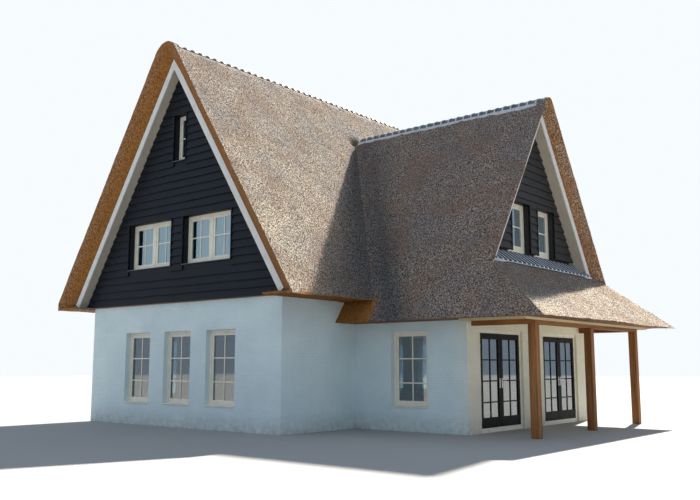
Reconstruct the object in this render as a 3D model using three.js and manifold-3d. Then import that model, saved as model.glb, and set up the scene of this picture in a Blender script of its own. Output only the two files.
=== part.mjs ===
// Thatched cottage: a main wing and a lower cross wing with a veranda, in millimetres.
// +X points to the veranda side, +Y to the back, +Z up; the ground is at Z = 0.
import * as THREE from 'three';
import { mergeVertices } from 'three/addons/utils/BufferGeometryUtils.js';
import Module from 'manifold-3d';

const wasm = await Module();
wasm.setup();

// Clearance between touching pieces, and the same clearance measured straight up on a roof slope
const GAP = 0.3;
const SLOPE_GAP = 1;
// How far a cutting shape runs past the face that it cuts, and how far joined shapes run into each other
const PAST = 200;
const OVERLAP = 1;

// Main wing walls
const AXIS_X = -2199;
const MAIN_HALF_WIDTH = 3547;
const MAIN_HALF_LENGTH = 5611;
const WALL = 300;
const WALL_TOP = 3000;

// Cross wing walls
const WING_HALF_WIDTH = 3075;
const WING_END_X = 4431;

// Floors
const FLOOR_TOP = 100;
const UPPER_FLOOR = [2700, 3000];
const ATTIC_FLOOR = [5600, 5800];
const ATTIC_HALF_WIDTH = 2180;

// Thatch of the main wing: the slope, the line where the outer slopes would meet, and the height where
// the inner ones do. The left slope is the thicker one, so the ridge lies left of the wing's middle,
// and its eave is cut plumb.
const MAIN_SLOPE = 1.542;
const MAIN_RIDGE_X = -2264;
const MAIN_APEX = 9900;
const MAIN_INNER_APEX = 9175;
const MAIN_RIDGE_RADIUS = 442;
const MAIN_EAVE_Z = 2965;
const MAIN_LEFT_EAVE_X = -6632;
const VERGE_FOOT = 50;
const MAIN_VERGE_Y = 6210;
const MAIN_BOARD_Y = 5968;

// Thatch of the cross wing
const WING_SLOPE = 1.514;
const WING_APEX = 8280;
const WING_INNER_APEX = 7871;
const WING_RIDGE_RADIUS = 196;
const WING_EAVE_Z = 2457;
const WING_VERGE_X = 5110;
const WING_BOARD_X = 4850;

// Hipped thatch skirt over the veranda
const SKIRT_LIP_X = 6632;
const SKIRT_SLOPE = 0.77;
const SKIRT_DEPTH = 429;

// Verge boards and soffits
const BOARD_THICK = 30;
const BOARD_HEIGHT = 295;
const SOFFIT_LIFT = 20;
const SOFFIT_HEIGHT = 37;

// Weatherboarding of the gables
const MAIN_CLADDING = 70;
const WING_CLADDING = 100;
const WING_CLADDING_FOOT = 4200;

// Ridge tiles and the tile apron at the foot of the wing gable
const MAIN_RIDGE = { halfWidth: 185, floor: 9390, shoulder: 9455, top: 9575, end: 6130 };
const WING_RIDGE = { halfWidth: 150, floor: 7970, shoulder: 8035, top: 8150, start: -860, end: 5030 };
const APRON = { endX: 4930, halfLength: 2130, thick: 75 };

// Window openings
const GROUND_HEAD = 2300;
const GROUND_SILL = 540;
const GROUND_WIDTH = 1003;
const GROUND_CENTRES = [-1575, 0, 1575];
const UPPER_CENTRE = 1100;
const UPPER_WIDTH = 1745;
const UPPER_SILL = 3920;
const UPPER_HEAD = 5110;
const ATTIC_WIDTH = 465;
const ATTIC_SILL = 6560;
const ATTIC_HEAD = 7760;
const WING_WINDOW_X = 2905;
const WING_WINDOW_WIDTH = 1017;
const WING_WINDOW_HEAD = 2260;
const GABLE_WINDOW_CENTRE = 675;
const GABLE_WINDOW_WIDTH = 930;
const GABLE_WINDOW_SILL = 4180;
const GABLE_WINDOW_HEAD = 5400;
const LEFT_WINDOW_CENTRES = [-3300, 0, 3300];

// Window joinery
const FRAME_DEPTH = 70;
const FRAME_FACE = 90;
const PANE = 24;
const BRICK_RECESS = 120;
const UPPER_RECESS = 140;
const SILL = { thick: 40, proud: 30 };
const SHEET = 24;
const SHEET_LAP = 100;

// French doors: each doorway holds a pair of leaves that open outwards
const DOORWAY_CENTRE = 1530;
const DOORWAY_HALF = 990;
const DOOR_FRAME = 80;
const DOOR_FRAME_DEPTH = 80;
const DOOR_SILL = 100;
const DOOR_HEAD = 2280;
const DOOR_RECESS = 50;
const LEAF_THICK = 55;
const LEAF_GAP = 6;
const LEAF_MEETING_GAP = 10;
const STILE = 95;
const TOP_RAIL = 130;
const BOTTOM_RAIL = 220;
const KNUCKLE = { radius: 8, bore: 8.6, length: 90, heights: [180, 985, 1790], sides: 12 };

// Veranda timbers
const POST = 180;
const POST_PITCH = 2793;
const POST_OUTER_X = 5960;
const BEAM_Z = [2336, 2479];
const CEILING = { z: [2479.3, 2497], endX: 6018, halfWidth: 3404 };
const EAVE_BOARD = { thick: 25, foot: 2410 };

// Segments of the rounded ridges
const RIDGE_STEPS = 12;
const TILE_STEPS = 10;

// Colours, roughness and metalness of the finishes
const finish = (color, roughness, metalness = 0) => (
  new THREE.MeshStandardMaterial({ color, roughness, metalness })
);
const MATERIALS = {
  brick: finish(0xe6e6e2, 0.85),
  cladding: finish(0x1d2026, 0.6),
  thatch: finish(0x9c8b78, 1),
  tile: finish(0x3d4450, 0.6),
  board: finish(0xdcdcd6, 0.5),
  joinery: finish(0xeae6d8, 0.45),
  door: finish(0x23272b, 0.4),
  oak: finish(0x9a6534, 0.75),
  concrete: finish(0x9b9b98, 0.9),
  glass: finish(0x8fa3ad, 0.1),
};

const cottage = new THREE.Group();

// Solids

function toManifold(geometry) {
  const plain = geometry.clone();
  plain.deleteAttribute('normal');
  plain.deleteAttribute('uv');
  const merged = mergeVertices(plain);
  return new wasm.Manifold(new wasm.Mesh({
    numProp: 3,
    vertProperties: new Float32Array(merged.attributes.position.array),
    triVerts: new Uint32Array(merged.index.array),
  }));
}

function toGeometry(solid) {
  const mesh = solid.getMesh();
  const geometry = new THREE.BufferGeometry();
  geometry.setAttribute('position', new THREE.BufferAttribute(mesh.vertProperties, mesh.numProp));
  geometry.setIndex(new THREE.BufferAttribute(mesh.triVerts, 1));
  geometry.computeVertexNormals();
  return geometry;
}

function extruded(points, depth) {
  const shape = new THREE.Shape(points.map(([u, v]) => new THREE.Vector2(u, v)));
  return new THREE.ExtrudeGeometry(shape, { depth, bevelEnabled: false });
}

// A profile of [x, z] points run along Y
function prismY(points, y0, y1) {
  const geometry = extruded(points, y1 - y0);
  geometry.rotateX(Math.PI / 2);
  geometry.translate(0, y1, 0);
  return toManifold(geometry);
}

// A profile of [y, z] points run along X
function prismX(points, x0, x1) {
  const geometry = extruded(points, x1 - x0);
  const turn = new THREE.Matrix4().makeBasis(
    new THREE.Vector3(0, 1, 0), new THREE.Vector3(0, 0, 1), new THREE.Vector3(1, 0, 0));
  geometry.applyMatrix4(turn);
  geometry.translate(x0, 0, 0);
  return toManifold(geometry);
}

function box([x0, y0, z0], [x1, y1, z1]) {
  const geometry = new THREE.BoxGeometry(x1 - x0, y1 - y0, z1 - z0);
  geometry.translate((x0 + x1) / 2, (y0 + y1) / 2, (z0 + z1) / 2);
  return toManifold(geometry);
}

// A closed solid between two rings of points with the same count, each ring convex
function loft(ringA, ringB) {
  const count = ringA.length;
  const index = [];
  for (let i = 1; i < count - 1; i += 1) {
    index.push(0, i + 1, i);
    index.push(count, count + i, count + i + 1);
  }
  for (let i = 0; i < count; i += 1) {
    const j = (i + 1) % count;
    index.push(i, j, count + j);
    index.push(i, count + j, count + i);
  }
  const geometry = new THREE.BufferGeometry();
  const points = new Float32Array([...ringA, ...ringB].flat());
  geometry.setAttribute('position', new THREE.BufferAttribute(points, 3));
  geometry.setIndex(index);
  const solid = toManifold(geometry);
  if (solid.volume() > 0) return solid;
  return loft(ringB, ringA);
}

function union(solids) {
  return solids.reduce((whole, solid) => whole.add(solid));
}

function cut(solid, ...cutters) {
  return cutters.reduce((rest, cutter) => rest.subtract(cutter), solid);
}

function addPiece(name, solid, material) {
  const mesh = new THREE.Mesh(toGeometry(solid), material);
  mesh.name = name;
  cottage.add(mesh);
}

// Roof profiles: half-width against height, around a vertical axis at the given middle

const roofZ = (apex, slope, half) => apex - slope * Math.abs(half);
const roofHalf = (apex, slope, z) => (apex - z) / slope;

// Points of a rounded ridge from left to right
function ridgeArc(apex, slope, radius) {
  const tilt = Math.atan(slope);
  const centre = apex - radius / Math.cos(tilt);
  const points = [];
  for (let i = 0; i <= RIDGE_STEPS; i += 1) {
    const angle = -tilt + (2 * tilt * i) / RIDGE_STEPS;
    points.push([radius * Math.sin(angle), centre + radius * Math.cos(angle)]);
  }
  return points;
}

function outerRoof(middle, apex, slope, radius, eaveZ) {
  const half = roofHalf(apex, slope, eaveZ);
  return [[-half, eaveZ], ...ridgeArc(apex, slope, radius), [half, eaveZ]]
    .map(([h, z]) => [middle + h, z]);
}

// The room under a roof: straight sides at the walls, then the underside of the thatch
function innerRoof(middle, apex, slope, halfWidth, footZ) {
  return [
    [middle - halfWidth, footZ],
    [middle - halfWidth, roofZ(apex, slope, halfWidth)],
    [middle, apex],
    [middle + halfWidth, roofZ(apex, slope, halfWidth)],
    [middle + halfWidth, footZ],
  ];
}

// A plain triangle under a slope, down to a foot height
function gableTriangle(middle, apex, slope, footZ) {
  const half = roofHalf(apex, slope, footZ);
  return [[middle - half, footZ], [middle, apex], [middle + half, footZ]];
}

// Verge ring with a blunt top, placed by a function that turns [half, z] into [x, y, z]
function vergeRing(apex, slope, shoulder, blunt, footZ, place) {
  const half = roofHalf(apex, slope, footZ);
  return [
    [-half, footZ],
    [-shoulder, roofZ(apex, slope, shoulder)],
    [0, apex - blunt],
    [shoulder, roofZ(apex, slope, shoulder)],
    [half, footZ],
  ].map(place);
}

// Thatch

const VERGE_LIP = 40;
const MAIN_SHOULDER = 360;
const WING_SHOULDER = 200;
const MAIN_BLUNT = 430;
const WING_BLUNT = 190;
const VERGE_PAST = 5;

// All that lies on one side of an upright plane
const FAR = 2 * MAIN_VERGE_Y;
const leftOf = (x) => box([-FAR, -FAR, 0], [x, FAR, FAR]);
const rightOf = (x) => box([x, -FAR, 0], [FAR, FAR, FAR]);
const frontOf = (y) => box([-FAR, -FAR, 0], [FAR, y, FAR]);
const backOf = (y) => box([-FAR, y, 0], [FAR, FAR, FAR]);

function mainVergeFlare(side) {
  const footZ = MAIN_EAVE_Z + VERGE_FOOT;
  const inner = vergeRing(MAIN_INNER_APEX, MAIN_SLOPE, MAIN_SHOULDER, 0, footZ,
    ([h, z]) => [AXIS_X + h, side * (MAIN_BOARD_Y - VERGE_PAST), z]);
  const outer = vergeRing(MAIN_APEX - VERGE_LIP, MAIN_SLOPE, MAIN_SHOULDER, MAIN_BLUNT - VERGE_LIP, footZ,
    ([h, z]) => [MAIN_RIDGE_X + h, side * (MAIN_VERGE_Y + VERGE_PAST), z]);
  return loft(inner, outer).intersect(rightOf(MAIN_LEFT_EAVE_X + VERGE_LIP));
}

function mainVoid() {
  const footZ = MAIN_EAVE_Z + VERGE_FOOT;
  const room = prismY(
    innerRoof(AXIS_X, MAIN_INNER_APEX, MAIN_SLOPE, MAIN_HALF_WIDTH + GAP, MAIN_EAVE_Z - PAST),
    -MAIN_BOARD_Y, MAIN_BOARD_Y);
  const triangle = gableTriangle(AXIS_X, MAIN_INNER_APEX, MAIN_SLOPE, footZ);
  const front = prismY(triangle, -MAIN_BOARD_Y, -MAIN_HALF_LENGTH + GAP);
  const back = prismY(triangle, MAIN_HALF_LENGTH - GAP, MAIN_BOARD_Y);
  const below = box(
    [AXIS_X - MAIN_HALF_WIDTH - GAP, -MAIN_VERGE_Y - PAST, MAIN_EAVE_Z - PAST],
    [AXIS_X + MAIN_HALF_WIDTH + GAP, MAIN_VERGE_Y + PAST, footZ + VERGE_PAST]);
  return union([room, front, back, below, mainVergeFlare(-1), mainVergeFlare(1)]);
}

const skirtZ = (x) => WING_EAVE_Z + SKIRT_SLOPE * (SKIRT_LIP_X - x);

// Everything under the skirt's outer plane from a given X outwards
function underSkirt(fromX, lift) {
  const floorZ = WING_EAVE_Z - PAST;
  const endX = SKIRT_LIP_X + (PAST + lift) / SKIRT_SLOPE;
  return prismY([[fromX, floorZ], [fromX, skirtZ(fromX) + lift], [endX, floorZ]],
    -2 * MAIN_HALF_LENGTH, 2 * MAIN_HALF_LENGTH);
}

function wingVoid() {
  return prismX(
    innerRoof(0, WING_INNER_APEX, WING_SLOPE, WING_HALF_WIDTH + GAP, WING_EAVE_Z - PAST),
    AXIS_X, WING_END_X + GAP);
}

function verandaVoid() {
  const under = prismX(
    gableTriangle(0, WING_INNER_APEX, WING_SLOPE, WING_EAVE_Z - PAST),
    WING_END_X, SKIRT_LIP_X);
  return under.intersect(underSkirt(WING_END_X, -SKIRT_DEPTH));
}

function wingVergeVoid() {
  const footZ = WING_EAVE_Z;
  const recess = prismX(
    gableTriangle(0, WING_INNER_APEX, WING_SLOPE, footZ),
    WING_END_X - GAP, WING_BOARD_X);
  const inner = vergeRing(WING_INNER_APEX, WING_SLOPE, WING_SHOULDER, 0, footZ,
    ([h, z]) => [WING_BOARD_X - VERGE_PAST, h, z]);
  const outer = vergeRing(WING_APEX - VERGE_LIP, WING_SLOPE, WING_SHOULDER, WING_BLUNT - VERGE_LIP, footZ,
    ([h, z]) => [WING_VERGE_X + VERGE_PAST, h, z]);
  return cut(union([recess, loft(inner, outer)]), underSkirt(WING_END_X - PAST, 0));
}

function ridgeGroove(ridge) {
  const half = ridge.halfWidth + GAP;
  return [[-half, ridge.floor], [half, ridge.floor], [half, ridge.top + PAST], [-half, ridge.top + PAST]];
}

function buildThatch() {
  const mainOuter = prismY(
    outerRoof(MAIN_RIDGE_X, MAIN_APEX, MAIN_SLOPE, MAIN_RIDGE_RADIUS, MAIN_EAVE_Z),
    -MAIN_VERGE_Y, MAIN_VERGE_Y).intersect(rightOf(MAIN_LEFT_EAVE_X));
  const mainOuterGrown = prismY(
    outerRoof(MAIN_RIDGE_X, MAIN_APEX + SLOPE_GAP, MAIN_SLOPE, MAIN_RIDGE_RADIUS, MAIN_EAVE_Z - GAP),
    -MAIN_VERGE_Y, MAIN_VERGE_Y);
  const wingOuter = prismX(
    outerRoof(0, WING_APEX, WING_SLOPE, WING_RIDGE_RADIUS, WING_EAVE_Z),
    AXIS_X, WING_VERGE_X);
  const skirtOuter = prismX(
    outerRoof(0, WING_APEX, WING_SLOPE, WING_RIDGE_RADIUS, WING_EAVE_Z),
    WING_END_X, SKIRT_LIP_X).intersect(underSkirt(WING_END_X - PAST, 0));
  const mainGroove = prismY(
    ridgeGroove(MAIN_RIDGE).map(([h, z]) => [MAIN_RIDGE_X + h, z]),
    -MAIN_RIDGE.end - GAP, MAIN_RIDGE.end + GAP);
  const wingGroove = prismX(ridgeGroove(WING_RIDGE), WING_RIDGE.start - GAP, WING_RIDGE.end + GAP);
  const rooms = [mainVoid(), wingVoid()];

  const main = cut(mainOuter, ...rooms, mainGroove, wingGroove);
  addPiece('thatch_main_left', main.intersect(leftOf(AXIS_X - GAP / 2)), MATERIALS.thatch);
  addPiece('thatch_main_right', main.intersect(rightOf(AXIS_X + GAP / 2)), MATERIALS.thatch);

  const mainRightFace = AXIS_X + MAIN_HALF_WIDTH + GAP;
  const indoors = box([-FAR, -FAR, 0], [mainRightFace, FAR, MAIN_EAVE_Z]);
  const wing = cut(wingOuter.add(skirtOuter), mainOuterGrown, ...rooms, indoors,
    verandaVoid(), wingVergeVoid(), wingGroove);
  const wingProper = cut(wing, underSkirt(WING_END_X + GAP / 2, SLOPE_GAP));
  addPiece('thatch_wing_front', wingProper.intersect(frontOf(-GAP / 2)), MATERIALS.thatch);
  addPiece('thatch_wing_back', wingProper.intersect(backOf(GAP / 2)), MATERIALS.thatch);
  addPiece('thatch_veranda', wing.intersect(underSkirt(WING_END_X + GAP, 0)), MATERIALS.thatch);
}

// Ridge tiles: a flat mortar bed with a half-round top
function ridgeProfile(ridge) {
  const points = [[-ridge.halfWidth, ridge.floor + GAP], [ridge.halfWidth, ridge.floor + GAP]];
  for (let i = 0; i <= TILE_STEPS; i += 1) {
    const angle = (Math.PI * i) / TILE_STEPS;
    points.push([
      ridge.halfWidth * Math.cos(angle),
      ridge.shoulder + (ridge.top - ridge.shoulder) * Math.sin(angle),
    ]);
  }
  return points;
}

function buildRidges() {
  addPiece('ridge_tiles_main', prismY(
    ridgeProfile(MAIN_RIDGE).map(([h, z]) => [MAIN_RIDGE_X + h, z]),
    -MAIN_RIDGE.end, MAIN_RIDGE.end), MATERIALS.tile);
  addPiece('ridge_tiles_wing', prismX(
    ridgeProfile(WING_RIDGE), WING_RIDGE.start, WING_RIDGE.end), MATERIALS.tile);
  const startX = WING_END_X + WING_CLADDING + GAP;
  addPiece('apron_tiles', prismY([
    [startX, skirtZ(startX) + SLOPE_GAP],
    [APRON.endX, skirtZ(APRON.endX) + SLOPE_GAP],
    [APRON.endX, skirtZ(APRON.endX) + SLOPE_GAP + APRON.thick],
    [startX, skirtZ(startX) + SLOPE_GAP + APRON.thick],
  ], -APRON.halfLength, APRON.halfLength), MATERIALS.tile);
}

// Verge boards: two legs that meet at the top, each cut off at the foot
function boardProfile(middle, apex, slope, footZ, square) {
  const top = apex - SLOPE_GAP;
  const under = apex - BOARD_HEIGHT;
  const innerHalf = roofHalf(under, slope, footZ);
  const length = Math.hypot(1, slope);
  const width = (top - under) / length;
  const outerFoot = square
    ? [innerHalf + (width * slope) / length, footZ + width / length]
    : [roofHalf(top, slope, footZ), footZ];
  return [
    [middle - outerFoot[0], outerFoot[1]],
    [middle, top],
    [middle + outerFoot[0], outerFoot[1]],
    [middle + innerHalf, footZ],
    [middle, under],
    [middle - innerHalf, footZ],
  ];
}

function soffitProfile(middle, apex, slope, footZ) {
  const under = apex - BOARD_HEIGHT + SOFFIT_LIFT;
  const over = under + SOFFIT_HEIGHT;
  return [
    [middle - roofHalf(over, slope, footZ), footZ],
    [middle, over],
    [middle + roofHalf(over, slope, footZ), footZ],
    [middle + roofHalf(under, slope, footZ), footZ],
    [middle, under],
    [middle - roofHalf(under, slope, footZ), footZ],
  ];
}

function buildVerges() {
  const mainFoot = MAIN_EAVE_Z + VERGE_FOOT + SLOPE_GAP;
  for (const [side, word] of [[-1, 'front'], [1, 'back']]) {
    const board = [side * MAIN_BOARD_Y, side * (MAIN_BOARD_Y - BOARD_THICK)].sort((a, b) => a - b);
    const soffit = [side * (MAIN_BOARD_Y - BOARD_THICK - GAP), side * (MAIN_HALF_LENGTH + GAP)]
      .sort((a, b) => a - b);
    addPiece(`bargeboards_main_${word}`, prismY(
      boardProfile(AXIS_X, MAIN_INNER_APEX, MAIN_SLOPE, mainFoot, true), ...board), MATERIALS.board);
    addPiece(`soffit_main_${word}`, prismY(
      soffitProfile(AXIS_X, MAIN_INNER_APEX, MAIN_SLOPE, mainFoot), ...soffit), MATERIALS.board);
  }
  const boardFoot = skirtZ(WING_BOARD_X - BOARD_THICK) + 2 * SLOPE_GAP;
  const soffitFoot = skirtZ(WING_END_X) + 2 * SLOPE_GAP;
  addPiece('bargeboards_wing', prismX(
    boardProfile(0, WING_INNER_APEX, WING_SLOPE, boardFoot, false),
    WING_BOARD_X - BOARD_THICK, WING_BOARD_X), MATERIALS.board);
  addPiece('soffit_wing', prismX(
    soffitProfile(0, WING_INNER_APEX, WING_SLOPE, soffitFoot),
    WING_END_X + GAP, WING_BOARD_X - BOARD_THICK - GAP), MATERIALS.board);
}

// Window openings in a wall that runs along X (thickness along Y) or along Y
function holeAlongX(centre, width, sill, head, y0, y1) {
  return box([centre - width / 2, y0 - PAST, sill], [centre + width / 2, y1 + PAST, head]);
}

function holeAlongY(centre, width, sill, head, x0, x1) {
  return box([x0 - PAST, centre - width / 2, sill], [x1 + PAST, centre + width / 2, head]);
}

function buildGroundWalls() {
  const left = AXIS_X - MAIN_HALF_WIDTH;
  const right = AXIS_X + MAIN_HALF_WIDTH;
  const inside = MAIN_HALF_LENGTH - WALL;
  for (const [side, word] of [[-1, 'front'], [1, 'back']]) {
    const [y0, y1] = side < 0 ? [-MAIN_HALF_LENGTH, -inside] : [inside, MAIN_HALF_LENGTH];
    const holes = GROUND_CENTRES.map((centre) => (
      holeAlongX(AXIS_X + centre, GROUND_WIDTH, GROUND_SILL, GROUND_HEAD, y0, y1)));
    addPiece(`main_${word}_wall`, cut(box([left, y0, 0], [right, y1, WALL_TOP]), ...holes), MATERIALS.brick);

    // The wing's front and back walls, with their tops sloped under the thatch
    const slopeTop = (half) => roofZ(WING_INNER_APEX, WING_SLOPE, half) - SLOPE_GAP;
    const outer = WING_HALF_WIDTH;
    const inner = WING_HALF_WIDTH - WALL;
    const profile = [[outer, 0], [outer, slopeTop(outer)], [inner, slopeTop(inner)], [inner, 0]]
      .map(([half, z]) => [side * half, z]);
    const wingWall = prismX(profile, right + GAP, WING_END_X - WALL - GAP);
    const hole = holeAlongX(WING_WINDOW_X, WING_WINDOW_WIDTH, GROUND_SILL, WING_WINDOW_HEAD,
      side * outer - WALL, side * outer + WALL);
    addPiece(`wing_${word}_wall`, cut(wingWall, hole), MATERIALS.brick);

    // The main wing's right wall on this side of the cross wing
    const top = (half) => roofZ(MAIN_INNER_APEX, MAIN_SLOPE, half) - SLOPE_GAP;
    const section = [
      [right, 0], [right, top(MAIN_HALF_WIDTH)], [right - WALL, top(MAIN_HALF_WIDTH - WALL)], [right - WALL, 0]];
    const [r0, r1] = side < 0 ? [-inside + GAP, -inner] : [inner, inside - GAP];
    addPiece(`main_right_wall_${word}`, prismY(section, r0, r1), MATERIALS.brick);
  }
  const top = (half) => roofZ(MAIN_INNER_APEX, MAIN_SLOPE, half) - SLOPE_GAP;
  const section = [
    [left, 0], [left, top(MAIN_HALF_WIDTH)], [left + WALL, top(MAIN_HALF_WIDTH - WALL)], [left + WALL, 0]];
  const holes = LEFT_WINDOW_CENTRES.map((centre) => (
    holeAlongY(centre, GROUND_WIDTH, GROUND_SILL, GROUND_HEAD, left, left + WALL)));
  addPiece('main_left_wall', cut(prismY(section, -inside + GAP, inside - GAP), ...holes), MATERIALS.brick);

  // Wing gable wall: piers beside the doorways and a lintel over them
  const x0 = WING_END_X - WALL;
  const near = DOORWAY_CENTRE - DOORWAY_HALF;
  const far = DOORWAY_CENTRE + DOORWAY_HALF;
  addPiece('wing_gable_pier_front', box(
    [x0, -WING_HALF_WIDTH, 0], [WING_END_X, -far, WALL_TOP]), MATERIALS.brick);
  addPiece('wing_gable_pier_middle', box(
    [x0, -near, 0], [WING_END_X, near, DOOR_HEAD]), MATERIALS.brick);
  addPiece('wing_gable_pier_back', box(
    [x0, far, 0], [WING_END_X, WING_HALF_WIDTH, WALL_TOP]), MATERIALS.brick);
  addPiece('wing_gable_lintel', box(
    [x0, -far + GAP, DOOR_HEAD + GAP], [WING_END_X, far - GAP, WALL_TOP]), MATERIALS.brick);
}

// Upper gables: a structural leaf under the thatch, clad outside with boards
function buildGables() {
  const inside = MAIN_HALF_LENGTH - WALL;
  const under = MAIN_INNER_APEX - BOARD_HEIGHT + SOFFIT_LIFT - SLOPE_GAP;
  for (const [side, word] of [[-1, 'front'], [1, 'back']]) {
    const [y0, y1] = side < 0 ? [-MAIN_HALF_LENGTH, -inside] : [inside, MAIN_HALF_LENGTH];
    const [c0, c1] = side < 0
      ? [-MAIN_HALF_LENGTH - MAIN_CLADDING, -MAIN_HALF_LENGTH]
      : [MAIN_HALF_LENGTH, MAIN_HALF_LENGTH + MAIN_CLADDING];
    const leaf = prismY(
      innerRoof(AXIS_X, MAIN_INNER_APEX - SLOPE_GAP, MAIN_SLOPE, MAIN_HALF_WIDTH, WALL_TOP + GAP), y0, y1);
    const boards = prismY(
      gableTriangle(AXIS_X, under, MAIN_SLOPE, MAIN_EAVE_Z + VERGE_FOOT + SLOPE_GAP), c0, c1);
    const holes = [-UPPER_CENTRE, UPPER_CENTRE].map((centre) => (
      holeAlongX(AXIS_X + centre, UPPER_WIDTH, UPPER_SILL, UPPER_HEAD, y0, y1)));
    holes.push(holeAlongX(AXIS_X, ATTIC_WIDTH, ATTIC_SILL, ATTIC_HEAD, y0, y1));
    addPiece(`main_${word}_gable`, cut(leaf.add(boards), ...holes), MATERIALS.cladding);
  }
  const leaf = prismX(
    innerRoof(0, WING_INNER_APEX - SLOPE_GAP, WING_SLOPE, WING_HALF_WIDTH, WALL_TOP + GAP),
    WING_END_X - WALL, WING_END_X);
  const wingUnder = WING_INNER_APEX - BOARD_HEIGHT + SOFFIT_LIFT - SLOPE_GAP;
  const boards = prismX(
    gableTriangle(0, wingUnder, WING_SLOPE, WING_CLADDING_FOOT), WING_END_X, WING_END_X + WING_CLADDING);
  const holes = [-GABLE_WINDOW_CENTRE, GABLE_WINDOW_CENTRE].map((centre) => (
    holeAlongY(centre, GABLE_WINDOW_WIDTH, GABLE_WINDOW_SILL, GABLE_WINDOW_HEAD,
      WING_END_X - WALL, WING_END_X)));
  addPiece('wing_gable', cut(leaf.add(boards), ...holes), MATERIALS.cladding);
}

function buildFloors() {
  const left = AXIS_X - MAIN_HALF_WIDTH + WALL + GAP;
  const right = AXIS_X + MAIN_HALF_WIDTH - WALL - GAP;
  const halfLength = MAIN_HALF_LENGTH - WALL - GAP;
  const wingHalf = WING_HALF_WIDTH - WALL - GAP;
  const wingEnd = WING_END_X - WALL - GAP;
  for (const [name, z0, z1] of [['ground_floor', 0, FLOOR_TOP], ['upper_floor', ...UPPER_FLOOR]]) {
    const main = box([left, -halfLength, z0], [right, halfLength, z1]);
    const wing = box([right - OVERLAP, -wingHalf, z0], [wingEnd, wingHalf, z1]);
    addPiece(name, main.add(wing), MATERIALS.concrete);
  }
  addPiece('attic_floor', box(
    [AXIS_X - ATTIC_HALF_WIDTH, -halfLength, ATTIC_FLOOR[0]],
    [AXIS_X + ATTIC_HALF_WIDTH, halfLength, ATTIC_FLOOR[1]]), MATERIALS.concrete);
}

// A window lying in the XZ plane around the origin of its opening, facing -Y at Y = 0
function windowSolid(width, height, sillDepth) {
  const half = width / 2 - GAP;
  const low = GAP;
  const high = height - GAP;
  const frame = box([-half, 0, low], [half, FRAME_DEPTH, high]);
  const paneY = (FRAME_DEPTH - PANE) / 2;
  const light = [[-half + FRAME_FACE, low + FRAME_FACE], [half - FRAME_FACE, high - FRAME_FACE]];
  const outside = box([light[0][0], -PAST, light[0][1]], [light[1][0], paneY, light[1][1]]);
  const inside = box([light[0][0], paneY + PANE, light[0][1]], [light[1][0], PAST, light[1][1]]);
  const glazed = cut(frame, outside, inside);
  if (sillDepth === 0) return glazed;
  return glazed.add(box([-half, -sillDepth, low], [half, PANE, low + SILL.thick]));
}

// A window set in its opening, turned about Z from facing -Y
function placedWindow(name, solid, x, y, z, turn) {
  const mesh = new THREE.Mesh(toGeometry(solid), MATERIALS.joinery);
  mesh.name = name;
  mesh.position.set(x, y, z);
  mesh.rotation.z = turn;
  cottage.add(mesh);
}

function buildWindows() {
  const frontY = -MAIN_HALF_LENGTH + BRICK_RECESS;
  const groundHeight = GROUND_HEAD - GROUND_SILL;
  const groundSill = BRICK_RECESS + SILL.proud;
  GROUND_CENTRES.forEach((centre, i) => {
    placedWindow(`window_front_ground_${i + 1}`, windowSolid(GROUND_WIDTH, groundHeight, groundSill),
      AXIS_X + centre, frontY, GROUND_SILL, 0);
  });
  const upperY = -MAIN_HALF_LENGTH - MAIN_CLADDING + UPPER_RECESS;
  const upperSill = UPPER_RECESS + SILL.proud;
  [-UPPER_CENTRE, UPPER_CENTRE].forEach((centre, i) => {
    placedWindow(`window_front_upper_${i + 1}`,
      windowSolid(UPPER_WIDTH, UPPER_HEAD - UPPER_SILL, upperSill),
      AXIS_X + centre, upperY, UPPER_SILL, 0);
  });
  const attic = windowSolid(ATTIC_WIDTH, ATTIC_HEAD - ATTIC_SILL, upperSill);
  placedWindow('window_front_attic', attic, AXIS_X, upperY, ATTIC_SILL, 0);
  placedWindow('window_back_attic', attic, AXIS_X, -upperY, ATTIC_SILL, Math.PI);
  const wing = windowSolid(WING_WINDOW_WIDTH, WING_WINDOW_HEAD - GROUND_SILL, groundSill);
  const wingY = -WING_HALF_WIDTH + BRICK_RECESS;
  placedWindow('window_wing_front', wing, WING_WINDOW_X, wingY, GROUND_SILL, 0);
  placedWindow('window_wing_back', wing, WING_WINDOW_X, -wingY, GROUND_SILL, Math.PI);
  const gableX = WING_END_X + WING_CLADDING - UPPER_RECESS;
  const gable = windowSolid(GABLE_WINDOW_WIDTH, GABLE_WINDOW_HEAD - GABLE_WINDOW_SILL, upperSill);
  [-GABLE_WINDOW_CENTRE, GABLE_WINDOW_CENTRE].forEach((centre, i) => {
    placedWindow(`window_wing_gable_${i + 1}`, gable, gableX, centre, GABLE_WINDOW_SILL, Math.PI / 2);
  });
}

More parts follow.
